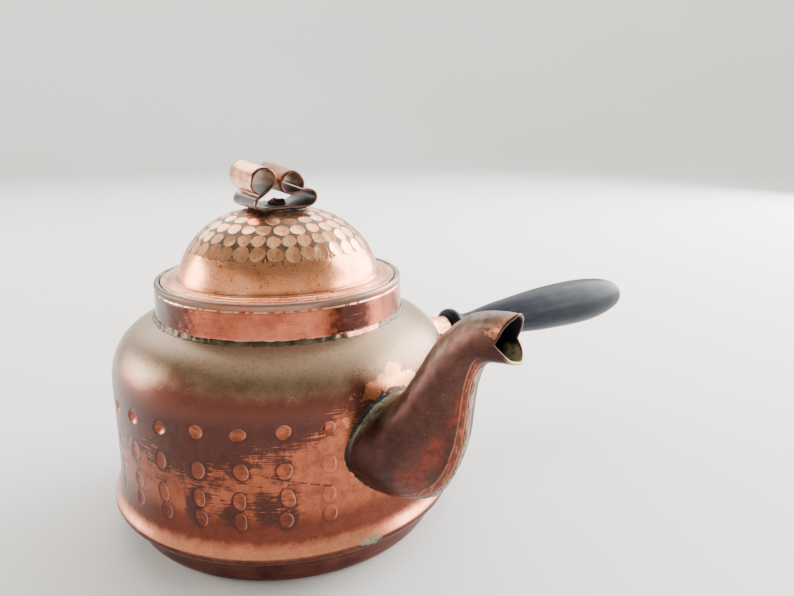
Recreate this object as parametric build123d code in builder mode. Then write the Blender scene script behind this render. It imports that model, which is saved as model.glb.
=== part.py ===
"""Copper kettle with a lift-off lid, a swan-neck spout and a turned wooden side handle.

Frame: the origin is the centre of the flat bottom, +Z is up, +X points along the spout.
All sizes are in millimetres.
"""

from build123d import *
from math import acos, cos, hypot, radians, sin
import os

os.makedirs("parts", exist_ok=True)

# ---- driving dimensions ----
sheet = 0.9  # copper sheet, used for everything but the knob
joint_gap = 0.05  # solder film between nested sheets
clear = 0.05  # room between a pin or rivet and its hole
reach = 20.0  # length of a cut, longer than anything it cuts through

wall_radius = 62.9  # outside of the straight wall
lip_radius = 66.0  # outside of the folded bottom seam
lip_low = 12.3  # underside of the seam
lip_rounding = 0.8
fold_inner_radius = 62.1  # how far in the fold reaches under the pan's flange
foot_radius = 58.9  # outside of the pan at its foot
foot_corner = 4.0  # rounding of the pan's bottom edge
pan_throat_radius = 61.2  # outside of the pan where it turns out into its flange
pan_flange_radius = 65.0

collar_radius = 46.0  # outside of the neck band at its foot
collar_top_radius = 45.7  # and under its rolled edge
collar_low = 80.7
collar_high = 93.2
bead_radius = 1.2  # rolled edge round the top of the neck band
wire_radius = 0.5  # wire rolled into it
seat_high = 90.75  # ledge that carries the lid
seat_inner_radius = 41.6
neck_radius = collar_top_radius - sheet - joint_gap
collar_solder_rise = 0.9  # how far the solder at its foot climbs the band
collar_solder_depth = 3.0  # and reaches below it

brim_radius = 43.15  # the lid's flat rim
brim_high = 92.6
dome_radius = 39.1  # the dome is a quarter of a superellipse, turned round the axis
dome_centre = 78.2
dome_rise = 40.0
dome_power = 2.5
dome_foot_radius = 37.5  # where the dome meets the step round its foot
flange_radius = 41.4  # the lid's locating flange, inside the ledge
flange_low = 79.5

ribbon_width = 21.0  # the knob is one strip bent into two scrolls
ribbon_thick = 0.75
ribbon_turn = 80.0  # direction of the strip's length, seen from above
ribbon_gap = 0.25  # solder bed between the strip and the top of the dome
knob_solder_length = 12.0
knob_solder_width = 19.0
knob_solder_corner = 2.0
rivet_radius = 1.6
rivet_head = [(3.3, 0.6), (2.1, 1.7), (0, 2.0)]  # outline of its head: (radius, above the strip)
rivet_tail_radius = 2.6
rivet_tail_rise = 1.1
washer_radius = 4.4
washer_gap = 0.15

spout_thick = 0.9
spout_height = 45.0  # middle of the spout's base
strainer_hole_radius = 2.0
strainer_pitch = 6.4
beak_notch = (106.6, 91.4)  # corner of the mouth, seen from the side
beak_margin = 0.5  # how far the cut of the mouth runs past its lips
solder_rise = 1.7  # how far solder climbs the spout and the socket
solder_spread = 1.4  # how far it spreads over the wall

handle_turn = 80.0  # direction of the handle, seen from above
handle_height = 56.0
handle_start = 50.0  # distances along the handle are from the kettle's axis; this one is inside the wall
tenon_radius = 5.2
tenon_start = 66.5
pin_radius = 1.0
pin_place = 73.0
pin_half_length = 6.8

# Half sections of the wall's outer face: (radius, height).
upwards = (0, 1)
flare = [(lip_radius, 14.6), (64.4, 17.6), (63.3, 22), (wall_radius, 27)]
flare_start = (-0.5, 0.87)
shoulder = [(wall_radius, 57), (60.5, 69), (54.9, 75.3), (neck_radius, 80.65)]
shoulder_end = (-0.88, 0.47)

# Half section of the step round the dome's foot: (radius, height).
step_outside = [(38.1, 93.35), (38.7, 93.55), (39.6, 93.55), (40.4, 92.9), (40.8, brim_high)]
step_inside = [(40, brim_high - sheet), (39.4, 92.65)]

# Side view of the spout: points on its back, points on its front seam, half widths.
spout_back = [(58, 64), (66.5, 64.2), (71.2, 67.6), (74.4, 72.4), (77.6, 78.4)]
spout_back += [(81.6, 84.8), (86.7, 90.9), (93.2, 96.1), (101.3, 99.2), (110.3, 100.2)]
spout_front = [(58, 26.4), (72.8, 28.6), (83, 34.4), (90, 44.4), (93.8, 56)]
spout_front += [(95, 67), (96.9, 77.3), (100.4, 83.3), (106, 85.1), (111.7, 85.9)]
spout_half = [19.2, 18.3, 16.3, 13.4, 10.7, 8.7, 7.3, 6.4, 6.0, 5.6]

# Side view of the knob's two scrolls: (along the strip, above its underside).
left_scroll = [(-8.4, 0.4), (-10.8, 0.4), (-12.3, 1.4), (-11.4, 3.2), (-7.7, 6.6), (-5.2, 8.7)]
left_scroll += [(-4.3, 11.2), (-5.8, 13.7), (-8.6, 14.6), (-11.6, 13.5), (-13.3, 10.6)]
left_scroll += [(-13, 7.5), (-11.2, 5.4)]
right_scroll = [(6.2, 0.4), (8, 0.9), (9.4, 1.8), (11, 3.8), (10, 5.9), (7.2, 6.5), (3, 5.6), (-0.4, 6)]
right_scroll += [(-2.5, 8.4), (-1.6, 11.8), (1.6, 13.5), (4.8, 11.9), (6, 8.9), (5.7, 7.6)]

# Outlines of the socket and of the grip, from the wall outwards: (distance, radius).
socket_outline = [(65, 7.9), (68.5, 7.3), (73, 6.6), (80.5, 6.2)]
grip_outline = [(81, 7.4), (82, 8.8), (83.6, 9.2), (85.6, 8.4), (88.5, 6.3), (93, 5.5), (100, 6.3)]
grip_outline += [(115, 8.3), (135, 10.2), (159, 11.3), (178, 10.6), (190.5, 8.2), (196.7, 4.8), (198.8, 0)]

# ---- worked out from the above ----
fold_high = lip_low + sheet + joint_gap
dome_top = dome_centre + dome_rise
brim_low = brim_high - sheet
ribbon_low = dome_top + ribbon_gap
ribbon_high = ribbon_low + ribbon_thick
rivet_head_rise = rivet_head[-1][1]
washer_low = dome_top - 2 * sheet - washer_gap
rivet_low = washer_low - rivet_tail_rise
spout_rows = list(zip(spout_back, spout_front, spout_half))
socket_root_radius = socket_outline[0][1]
socket_end, socket_mouth_radius = socket_outline[-1]
grip_end = grip_outline[-1][0]


def along(angle):
    """A level unit vector at this angle, seen from above."""
    return (cos(radians(angle)), sin(radians(angle)), 0)


def upright(angle, height):
    """A vertical plane: local x points outwards at this angle, local y points up."""
    outwards = along(angle)
    return Plane(origin=(0, 0, height), x_dir=outwards, z_dir=(outwards[1], -outwards[0], 0))


def across_spout(back, front):
    """The plane of a section of the spout between a point on its back and one on its front."""
    middle = ((back[0] + front[0]) / 2, 0, (back[1] + front[1]) / 2)
    return Plane(origin=middle, x_dir=(0, 1, 0), z_dir=(back[1] - front[1], 0, front[0] - back[0]))


def spout_sections(grow, rows):
    """Sections of the spout's outer form, grown by this much, or shrunk if it is negative."""
    sections = []
    for back, front, half_width in rows:
        depth = hypot(back[0] - front[0], back[1] - front[1]) / 2
        with BuildSketch(across_spout(back, front)) as section:
            Ellipse(half_width + grow, depth + grow)
        sections.append(section.sketch.face())
    return sections


def shifted(points, amount, start, end):
    """The points moved sideways, to the left of the way they run; start and end are directions."""
    moved = []
    for i, point in enumerate(points):
        before = points[i - 1] if i else point
        after = points[i + 1] if i < len(points) - 1 else point
        way = (after[0] - before[0], after[1] - before[1])
        if i == 0:
            way = start
        if i == len(points) - 1:
            way = end
        size = hypot(way[0], way[1])
        moved.append((point[0] - amount * way[1] / size, point[1] + amount * way[0] / size))
    return moved


def filled_wall(gap):
    """Everything inside the wall's outer face, grown by a gap."""
    flare_line = shifted(flare, -gap, flare_start, upwards)
    shoulder_line = shifted(shoulder, -gap, upwards, shoulder_end)
    with BuildPart() as filled:
        with BuildSketch(Plane.XZ):
            with BuildLine():
                Spline(*flare_line, tangents=[flare_start, upwards])
                Line(flare_line[-1], shoulder_line[0])
                Spline(*shoulder_line, tangents=[upwards, shoulder_end])
                Polyline(
                    shoulder_line[-1],
                    (0, shoulder_line[-1][1]),
                    (0, flare_line[0][1]),
                    flare_line[0],
                )
            make_face()
        revolve(axis=Axis.Z)
    return filled.part


def dome_curve(inset):
    """Points down the dome, from its rivet hole to its foot, this far inside its outer face."""
    first = acos(((rivet_radius + clear) / (dome_radius - inset)) ** (dome_power / 2))
    last = acos((dome_foot_radius / dome_radius) ** (dome_power / 2))
    steps = 10
    points = []
    for i in range(steps + 1):
        turn = first + (last - first) * i / steps
        out = (dome_radius - inset) * cos(turn) ** (2 / dome_power)
        up = (dome_rise - inset) * sin(turn) ** (2 / dome_power)
        points.append((out, dome_centre + up))
    return points


def filled_dome(gap):
    """Everything inside the dome's outer face, grown by a gap."""
    outline = list(reversed(dome_curve(-gap)))
    with BuildPart() as filled:
        with BuildSketch(Plane.XZ):
            with BuildLine():
                Spline(*outline)
                Polyline(outline[-1], (0, outline[-1][1]), (0, outline[0][1]), outline[0])
            make_face()
        revolve(axis=Axis.Z)
    return filled.part


handle_plane = upright(handle_turn, handle_height)
handle_axis = Axis((0, 0, handle_height), along(handle_turn))
pin_middle = (pin_place * along(handle_turn)[0], pin_place * along(handle_turn)[1], handle_height)
pin_plane = Plane(origin=pin_middle, z_dir=along(handle_turn + 90))
clear_wall = filled_wall(clear)
solder_wall = filled_wall(solder_rise)
clear_dome = filled_dome(clear)

# ---- body shell: wall, shoulder, neck with its ledge, and the fold under the pan ----
flare_inside = shifted(flare, sheet, flare_start, upwards)
shoulder_inside = shifted(shoulder, sheet, upwards, shoulder_end)
shoulder_slope = shoulder_end[1] / shoulder_end[0]
neck_inside = neck_radius - sheet
shoulder_corner = shoulder_inside[-1][1] + shoulder_slope * (neck_inside - shoulder_inside[-1][0])
shoulder_inside[-1] = (neck_inside, shoulder_corner)
with BuildPart() as body_shell:
    with BuildSketch(Plane.XZ) as shell_section:
        with BuildLine():
            Spline(*flare, tangents=[flare_start, upwards])
            Line(flare[-1], shoulder[0])
            Spline(*shoulder, tangents=[upwards, shoulder_end])
            Polyline(
                shoulder[-1],
                (neck_radius, seat_high),
                (seat_inner_radius, seat_high),
                (seat_inner_radius, seat_high - sheet),
                (neck_inside, seat_high - sheet),
                shoulder_inside[-1],
            )
            Spline(*shoulder_inside, tangents=[upwards, shoulder_end])
            Line(shoulder_inside[0], flare_inside[-1])
            Spline(*flare_inside, tangents=[flare_start, upwards])
            Polyline(
                flare_inside[0],
                (lip_radius - sheet, fold_high),
                (fold_inner_radius, fold_high),
                (fold_inner_radius, lip_low),
                (lip_radius, lip_low),
                flare[0],
            )
        make_face()
        lip_corner = shell_section.vertices().group_by(Axis.Y)[0].sort_by(Axis.X)[-1]
        fillet(lip_corner, lip_rounding)
    revolve(axis=Axis.Z)
    with BuildSketch(Plane.YZ.offset(wall_radius - reach / 2)):
        with Locations((0, spout_height)):
            Circle(strainer_hole_radius)
            with PolarLocations(strainer_pitch, 6):
                Circle(strainer_hole_radius)
            with PolarLocations(2 * strainer_pitch, 12):
                Circle(strainer_hole_radius)
    extrude(amount=reach, mode=Mode.SUBTRACT)
body_shell.part.label = "body_shell"
export_step(body_shell.part, "parts/body_shell.step")

# ---- bottom pan: a shallow dish whose flange is gripped by the folded seam ----
with BuildPart() as bottom_pan:
    with BuildSketch(Plane.XZ) as pan_section:
        with BuildLine():
            Polyline(
                (0, 0),
                (foot_radius, 0),
                (pan_throat_radius, fold_high),
                (pan_flange_radius, fold_high),
                (pan_flange_radius, fold_high + sheet),
                (pan_throat_radius - sheet, fold_high + sheet),
                (foot_radius - sheet, sheet),
                (0, sheet),
                close=True,
            )
        make_face()
        outside_corner = pan_section.vertices().group_by(Axis.Y)[0].sort_by(Axis.X)[-1]
        fillet(outside_corner, foot_corner)
        inside_corner = pan_section.vertices().group_by(Axis.Y)[1].sort_by(Axis.X)[-1]
        fillet(inside_corner, foot_corner - sheet)
    revolve(axis=Axis.Z)
bottom_pan.part.label = "bottom_pan"
export_step(bottom_pan.part, "parts/bottom_pan.step")

# ---- neck band with a rolled top edge, its wire, and the solder at its foot ----
bead_centre = (collar_top_radius - bead_radius, collar_high - bead_radius)
with BuildPart() as neck_collar:
    with BuildSketch(Plane.XZ):
        with BuildLine():
            Polyline(
                (collar_radius, collar_low),
                (collar_top_radius, bead_centre[1]),
                (collar_top_radius - sheet, bead_centre[1]),
                (collar_top_radius - sheet, collar_low),
                close=True,
            )
        make_face()
        with Locations(bead_centre):
            Circle(bead_radius)
            Circle(wire_radius + clear, mode=Mode.SUBTRACT)
    revolve(axis=Axis.Z)
neck_collar.part.label = "neck_collar"
export_step(neck_collar.part, "parts/neck_collar.step")

with BuildPart() as collar_wire:
    with BuildSketch(Plane.XZ):
        with Locations(bead_centre):
            Circle(wire_radius)
    revolve(axis=Axis.Z)
collar_wire.part.label = "collar_wire"
export_step(collar_wire.part, "parts/collar_wire.step")

with BuildPart() as collar_solder:
    with BuildSketch(Plane.XZ):
        with BuildLine():
            Polyline(
                (collar_radius + clear, collar_low + collar_solder_rise),
                (collar_radius + clear, collar_low - collar_solder_depth),
                (collar_radius + solder_spread, collar_low - collar_solder_depth),
                (collar_radius + solder_spread, collar_low - collar_solder_rise),
                close=True,
            )
        make_face()
    revolve(axis=Axis.Z)
    add(clear_wall, mode=Mode.SUBTRACT)
collar_solder.part.label = "collar_solder"
export_step(collar_solder.part, "parts/collar_solder.step")

# ---- lid: dome with its rim, and the locating flange soldered under the rim ----
dome_outside = dome_curve(0)
dome_inside = dome_curve(sheet)
with BuildPart() as lid_dome:
    with BuildSketch(Plane.XZ):
        with BuildLine():
            Spline(*dome_outside)
            Polyline(
                dome_outside[-1],
                *step_outside,
                (brim_radius, brim_high),
                (brim_radius, brim_low),
                *step_inside,
                dome_inside[-1],
            )
            Spline(*dome_inside)
            Line(dome_inside[0], dome_outside[0])
        make_face()
    revolve(axis=Axis.Z)
lid_dome.part.label = "lid_dome"
export_step(lid_dome.part, "parts/lid_dome.step")

with BuildPart() as lid_flange:
    with BuildSketch(Plane.XZ):
        with Locations((flange_radius, flange_low)):
            Rectangle(sheet, brim_low - joint_gap - flange_low, align=(Align.MAX, Align.MIN))
        with Locations((flange_radius - sheet, seat_high + joint_gap)):
            Rectangle(
                brim_radius - flange_radius + sheet,
                brim_low - seat_high - 2 * joint_gap,
                align=(Align.MIN, Align.MIN),
            )
    revolve(axis=Axis.Z)
lid_flange.part.label = "lid_flange"
export_step(lid_flange.part, "parts/lid_flange.step")

# ---- knob: scrolled strip, its solder bed, rivet and inside washer ----
with BuildPart() as knob_ribbon:
    with BuildLine(upright(ribbon_turn, ribbon_low)) as strip_line:
        Spline(*reversed(left_scroll))
        Line(left_scroll[0], right_scroll[0])
        Spline(*right_scroll)
    with BuildSketch(Plane(strip_line.line @ 0, x_dir=along(ribbon_turn + 90), z_dir=strip_line.line % 0)):
        Rectangle(ribbon_width, ribbon_thick)
    sweep(path=strip_line.line)
    with BuildSketch(Plane.XY.offset(dome_top)):
        Circle(rivet_radius + clear)
    extrude(amount=ribbon_gap + 2 * ribbon_thick, mode=Mode.SUBTRACT)
knob_ribbon.part.label = "knob_ribbon"
export_step(knob_ribbon.part, "parts/knob_ribbon.step")

with BuildPart() as knob_solder:
    with BuildSketch(Plane.XY.offset(ribbon_low).rotated((0, 0, ribbon_turn))):
        RectangleRounded(knob_solder_length, knob_solder_width, knob_solder_corner)
        Circle(rivet_radius + clear, mode=Mode.SUBTRACT)
    extrude(amount=-knob_solder_corner)
    add(clear_dome, mode=Mode.SUBTRACT)
knob_solder.part.label = "knob_solder"
export_step(knob_solder.part, "parts/knob_solder.step")

with BuildPart() as knob_rivet:
    with BuildSketch(Plane.XZ):
        with BuildLine():
            Line((0, ribbon_high + rivet_head_rise), (0, rivet_low))
            Polyline(
                (0, rivet_low),
                (rivet_tail_radius, rivet_low),
                (rivet_tail_radius, washer_low),
                (rivet_radius, washer_low),
                (rivet_radius, ribbon_high),
                (rivet_head[0][0], ribbon_high),
                (rivet_head[0][0], ribbon_high + rivet_head[0][1]),
            )
            Spline(
                *[(radius, ribbon_high + above) for radius, above in rivet_head],
                tangents=[(0, 1), (-1, 0)],
            )
        make_face()
    revolve(axis=Axis.Z)
knob_rivet.part.label = "knob_rivet"
export_step(knob_rivet.part, "parts/knob_rivet.step")

with BuildPart() as knob_washer:
    with BuildSketch(Plane.XY.offset(washer_low)):
        Circle(washer_radius)
        Circle(rivet_radius + clear, mode=Mode.SUBTRACT)
    extrude(amount=sheet)
knob_washer.part.label = "knob_washer"
export_step(knob_washer.part, "parts/knob_washer.step")

# ---- spout: a hollow swan neck with a beak, and the solder round its base ----
with BuildPart() as spout:
    loft(spout_sections(0, spout_rows))
    loft(spout_sections(-spout_thick, spout_rows), mode=Mode.SUBTRACT)
    with BuildSketch(Plane.XZ):
        with BuildLine():
            Polyline(
                beak_notch,
                (spout_back[-1][0], spout_back[-1][1] + beak_margin),
                (spout_back[-1][0] + reach, spout_back[-1][1] + beak_margin),
                (spout_front[-1][0] + reach, spout_front[-1][1] - beak_margin),
                (spout_front[-1][0], spout_front[-1][1] - beak_margin),
                close=True,
            )
        make_face()
    extrude(amount=reach, both=True, mode=Mode.SUBTRACT)
    add(clear_wall, mode=Mode.SUBTRACT)
spout.part.label = "spout"
export_step(spout.part, "parts/spout.step")

with BuildPart() as spout_solder:
    loft(spout_sections(solder_spread, spout_rows[:3]))
    add(solder_wall, mode=Mode.INTERSECT)
    loft(spout_sections(clear, spout_rows), mode=Mode.SUBTRACT)
    add(clear_wall, mode=Mode.SUBTRACT)
spout_solder.part.label = "spout_solder"
export_step(spout_solder.part, "parts/spout_solder.step")

# ---- handle: copper socket soldered to the wall, wooden grip with a tenon, and its pin ----
with BuildPart() as handle_socket:
    with BuildSketch(handle_plane):
        with BuildLine():
            Polyline((handle_start, 0), (handle_start, socket_root_radius), socket_outline[0])
            Spline(*socket_outline)
            Polyline(socket_outline[-1], (socket_end, 0), (handle_start, 0))
        make_face()
    revolve(axis=handle_axis)
    with BuildSketch(handle_plane):
        with Locations((handle_start, 0)):
            Rectangle(
                socket_end - handle_start,
                socket_mouth_radius - sheet,
                align=(Align.MIN, Align.MIN),
            )
    revolve(axis=handle_axis, mode=Mode.SUBTRACT)
    with BuildSketch(pin_plane):
        Circle(pin_radius + clear)
    extrude(amount=reach, both=True, mode=Mode.SUBTRACT)
    add(clear_wall, mode=Mode.SUBTRACT)
handle_socket.part.label = "handle_socket"
export_step(handle_socket.part, "parts/handle_socket.step")

with BuildPart() as handle_solder:
    with BuildSketch(handle_plane):
        with Locations((handle_start, 0)):
            Rectangle(reach, socket_root_radius + solder_spread, align=(Align.MIN, Align.MIN))
    revolve(axis=handle_axis)
    add(solder_wall, mode=Mode.INTERSECT)
    with BuildSketch(handle_plane):
        with Locations((handle_start, 0)):
            Rectangle(reach, socket_root_radius + clear, align=(Align.MIN, Align.MIN))
    revolve(axis=handle_axis, mode=Mode.SUBTRACT)
    add(clear_wall, mode=Mode.SUBTRACT)
handle_solder.part.label = "handle_solder"
export_step(handle_solder.part, "parts/handle_solder.step")

with BuildPart() as handle_grip:
    with BuildSketch(handle_plane):
        with BuildLine():
            Polyline(
                (grip_end, 0),
                (tenon_start, 0),
                (tenon_start, tenon_radius),
                (socket_end + clear, tenon_radius),
                (socket_end + clear, grip_outline[0][1]),
                grip_outline[0],
            )
            Spline(*grip_outline)
        make_face()
    revolve(axis=handle_axis)
    with BuildSketch(pin_plane):
        Circle(pin_radius + clear)
    extrude(amount=reach, both=True, mode=Mode.SUBTRACT)
handle_grip.part.label = "handle_grip"
export_step(handle_grip.part, "parts/handle_grip.step")

with BuildPart() as handle_pin:
    with BuildSketch(pin_plane):
        Circle(pin_radius)
    extrude(amount=pin_half_length, both=True)
handle_pin.part.label = "handle_pin"
export_step(handle_pin.part, "parts/handle_pin.step")
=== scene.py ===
from math import cos, pi, radians, sin

import bmesh
import bpy
import numpy as np
from mathutils import Matrix, Vector


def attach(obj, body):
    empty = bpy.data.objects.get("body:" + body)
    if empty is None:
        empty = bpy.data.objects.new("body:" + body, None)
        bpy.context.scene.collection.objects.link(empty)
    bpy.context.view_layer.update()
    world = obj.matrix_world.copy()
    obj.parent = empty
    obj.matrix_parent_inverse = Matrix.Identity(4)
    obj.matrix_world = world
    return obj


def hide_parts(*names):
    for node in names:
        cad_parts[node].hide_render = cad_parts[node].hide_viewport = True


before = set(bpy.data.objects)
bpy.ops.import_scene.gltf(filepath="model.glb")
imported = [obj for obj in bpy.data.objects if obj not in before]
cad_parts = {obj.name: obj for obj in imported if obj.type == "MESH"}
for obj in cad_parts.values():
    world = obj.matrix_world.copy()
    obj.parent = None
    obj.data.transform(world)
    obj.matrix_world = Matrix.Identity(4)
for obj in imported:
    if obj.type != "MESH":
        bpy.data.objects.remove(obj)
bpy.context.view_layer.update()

# Copper kettle: hammered lid and wall, swan-neck spout, scrolled strip knob, black wooden handle.
# The row frame: origin at the centre of the bottom, +Z up, +X along the spout.
# Shapes are worked out in millimetres and turned into metres when a mesh is made.
MM = 0.001
rng = np.random.default_rng(7)

# ---- sizes, in millimetres, the same as the CAD frame's ----
SHEET = 0.9
WALL_RADIUS = 62.9
LIP_RADIUS, LIP_LOW, LIP_HIGH = 66.0, 12.3, 14.6
FOLD_INNER, FOLD_HIGH = 62.1, 13.25
FLARE = [(66, 14.6), (64.4, 17.6), (63.3, 22), (62.9, 27)]
FLARE_START = (-0.5, 0.87)
SHOULDER = [(62.9, 57), (60.5, 69), (54.9, 75.3), (44.75, 80.65)]
SHOULDER_END = (-0.88, 0.47)
UP = (0, 1)
NECK_RADIUS = 44.75
SEAT_HIGH, SEAT_INNER = 90.75, 41.6
FOOT_RADIUS, THROAT_RADIUS, PAN_FLANGE = 58.9, 61.2, 65.0

COLLAR_LOW, COLLAR_CREASE, COLLAR_HIGH = 80.7, 90.7, 93.2
COLLAR_RADIUS, COLLAR_TOP_RADIUS, COLLAR_JOINT = 46.0, 45.6, 15.5
BRIM_RADIUS, BRIM_HIGH = 43.45, 92.6
DOME_RADIUS, DOME_CENTRE, DOME_RISE, DOME_POWER, DOME_FOOT = 39.1, 78.2, 40.0, 2.5, 37.5
RIVET_HOLE = 1.65

RIBBON_TURN, RIBBON_LOW, RIBBON_WIDTH, RIBBON_THICK = 80.0, 118.45, 21.0, 0.88
HANDLE_TURN, HANDLE_HEIGHT, TENON_RADIUS, TENON_START = 80.0, 56.0, 5.2, 66.5
STRAINER_MIDDLE, STRAINER_HOLE, STRAINER_PITCH = 45.0, 2.0, 6.4

SPOUT_BACK = [(58, 64), (66.5, 64.2), (71.2, 67.6), (74.4, 72.4), (77.6, 78.4)]
SPOUT_BACK += [(81.6, 84.8), (86.7, 90.9), (93.2, 96.1), (101.3, 99.2), (110.3, 100.2)]
SPOUT_FRONT = [(58, 26.4), (72.8, 28.6), (83, 34.4), (90, 44.4), (93.8, 56)]
SPOUT_FRONT += [(95, 67), (96.9, 77.3), (100.4, 83.3), (106, 85.1), (111.7, 85.9)]
SPOUT_HALF = [19.2, 18.3, 16.3, 13.4, 10.7, 8.7, 7.3, 6.4, 6.0, 5.6]
BEAK_NOTCH = (106.6, 91.4)

LEFT_SCROLL = [(-8.4, 0.4), (-10.7, 0.5), (-12.3, 1.6), (-12.1, 3.3), (-10.3, 4.9), (-7.5, 6.8), (-5.2, 8.8)]
LEFT_SCROLL += [(-4.3, 11.2), (-5.8, 13.7), (-8.6, 14.6), (-11.6, 13.5), (-13.3, 10.6)]
LEFT_SCROLL += [(-13, 7.7), (-11.1, 5.9)]
RIGHT_SCROLL = [(6.2, 0.4), (8.6, 0.75), (10.3, 1.7), (11.2, 3.5), (10.6, 5.5), (8.7, 6.6), (6, 6.5)]
RIGHT_SCROLL += [(2.8, 5.8), (-0.4, 6)]
RIGHT_SCROLL += [(-2.5, 8.4), (-1.6, 11.8), (1.6, 13.5), (4.8, 11.9), (6.1, 9), (5.6, 7.4)]

SOCKET = [(61.8, 7.9), (65, 7.9), (68.5, 7.3), (73, 6.6), (80.5, 6.2)]
GRIP = [(81, 7.4), (82, 8.8), (83.6, 9.2), (85.6, 8.4), (88.5, 6.3), (93, 5.5), (100, 6.3)]
GRIP += [(115, 8.3), (135, 10.2), (159, 11.3), (178, 10.6), (190.5, 8.2), (196.7, 4.8), (198.8, 0)]

# ---- marks: rings of (height, half width, half height, depth) on the wall, and of (height, count,
# turn of the first, half width, half height) on the dome ----
WALL_RINGS = [(56, 2.6, 2.4, 0.95), (43.6, 2.5, 3.3, 0.28), (33.2, 2.35, 3.3, 0.26), (26.2, 2.35, 3.2, 0.25)]
DOME_RINGS = [(106.3, 35, -47.4, 2.62, 2.75), (110.2, 33, -37.4, 2.42, 2.45), (113.2, 26, -45.3, 2.55, 2.35)]
DOME_RINGS += [(115.5, 20, -40.3, 2.6, 2.25), (116.9, 15, -30.0, 2.5, 2.2), (117.7, 9, -25.0, 2.4, 2.1)]
# A mark has a raised rim just outside its outline, and nothing of it is felt this far away.
MARK_RIM_AT, MARK_RIM_WIDTH, MARK_REACH = 0.3, 0.35, 9.0
# Only the outside of the wall is marked: below this height and out past this radius.
MARKS_BELOW, MARKS_BEYOND = 66, 60
# The two ends, (turn, height), of each long scratch in the wall.
SCRATCHES = [((-42.6, 42.9), (-22.0, 36.8)), ((140.0, 44.0), (158.0, 39.0))]

# ---- stains and painted shade: (turn in degrees, height, half width in degrees, half height, strength) ----
# Where the brown skin has stayed on, all the way up; where more of it is left; where it is rubbed
# away; where flux has cleaned the copper; and where it is green.
BROWN_SIDES = [(-76, 0, 42, 9, 1.3), (-135, 0, 26, 9, 0.8), (175, 0, 30, 9, 0.9), (112, 0, 20, 9, 0.7)]
BROWN_SIDES += [(48, 0, 17, 9, 0.8)]
WALL_GRIME = [(-40.5, 31, 4.2, 6.5, 0.75), (-52, 28, 2.8, 4.8, 0.55), (-64, 30, 2.6, 7, 0.5)]
WALL_GRIME += [(-33, 27, 1.6, 4, 0.4), (-57, 34.5, 2, 3, 0.35), (-66, 45, 9, 7, 0.3), (-54, 49, 7, 3, 0.25)]
WALL_GRIME += [(-140, 33, 9, 7, 0.5), (168, 32, 9, 7, 0.5), (122, 30, 7, 6, 0.45), (62, 29, 6, 6, 0.5)]
WALL_GRIME += [(36, 33, 4, 7, 0.45), (-108, 38, 6, 7, 0.3)]
WALL_CLEAN = [(-19, 46, 6, 18, 0.8), (-28, 44, 6, 8, 0.3), (-39, 44, 5, 4, 0.15), (21, 46, 6, 18, 0.7)]
WALL_CLEAN += [(-86, 24, 8, 6, 0.3), (-120, 46, 9, 6, 0.3), (150, 44, 10, 6, 0.35)]
WALL_BARE = [(0, 67, 9, 2.6, 0.9), (2, 70.5, 4, 2, 0.7), (-9, 64.5, 5, 2.5, 0.6), (8, 65, 5, 3, 0.6)]
WALL_BARE += [(-17, 58, 3.5, 6, 0.45), (3, 80.4, 8, 0.9, 0.95), (60, 80.6, 10, 0.6, 0.6)]
WALL_BARE += [(80, 66, 9, 2.5, 0.7), (150, 80.5, 16, 0.7, 0.7), (-120, 80.7, 12, 0.5, 0.6)]
WALL_GREEN = [(-108, 18, 4, 2.2, 1.0), (170, 17, 6, 2.0, 0.8), (-11, 14.5, 4.5, 1.6, 1.0)]
FOOT_GREEN = [(-4, 9, 6, 4, 0.9), (-12, 11, 4, 2, 0.5), (140, 10, 9, 3, 0.7)]
# Where the neck band is painted darker: painted shade and painted dark reflections.
COLLAR_PAINTED_SHADE = [(-98, 0, 34, 1, 0.95), (-3, 0, 13, 1, 0.95), (140, 0, 45, 1, 0.6)]
COLLAR_SOLDER_CLEAN = [(2, 80.5, 12, 3, 0.9), (75, 81, 25, 3, 0.6), (-150, 81, 30, 3, 0.6)]

# ---- how finely the meshes are cut ----
WALL_COLUMNS, PAN_COLUMNS, COLLAR_COLUMNS, LID_COLUMNS = 470, 256, 512, 490
SPOUT_STATIONS, SPOUT_ROWS, SPOUT_COLUMNS = 260, 190, 160
SOCKET_COLUMNS, GRIP_COLUMNS, RIVET_COLUMNS, BED_COLUMNS, STUDIO_COLUMNS = 96, 128, 48, 120, 96

# ---- camera, in metres and degrees, and the studio's soft lights ----
CAMERA_PLACE = Vector((0.2133, -0.1441, 0.1519))
CAMERA_HEADING, CAMERA_PITCH = 136.0, -15.2
KETTLE = (0, 0, 0.06)
# Each light: name, place, what it is aimed at, size, power and colour. Places are given to the
# right of the camera's view, away from it, and up, from the middle of the kettle's bottom.
LIGHTS = [
    ("window", (0.92, 0.5, 0.5), KETTLE, (1.1, 0.85), 52, (1.0, 0.99, 0.98)),
    ("left_fill", (-1.05, 0.16, 0.26), KETTLE, (0.5, 0.48), 13, (1.0, 0.94, 0.85)),
    ("ceiling", (-0.2, 0.93, 0.88), KETTLE, (1.7, 0.9), 21, (1.0, 0.99, 0.98)),
    ("right_low", (1.0, -0.1, 0.2), KETTLE, (0.3, 0.26), 5, (1.0, 0.98, 0.95)),
    ("overhead", (0.0, 0.1, 1.5), KETTLE, (1.6, 1.3), 5, (1.0, 0.99, 0.97)),
    ("wall_wash", (0.0, 1.0, 2.0), (0.0, 2.2, 0.9), (2.0, 0.8), 42, (1.0, 0.99, 0.98)),
]

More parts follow.
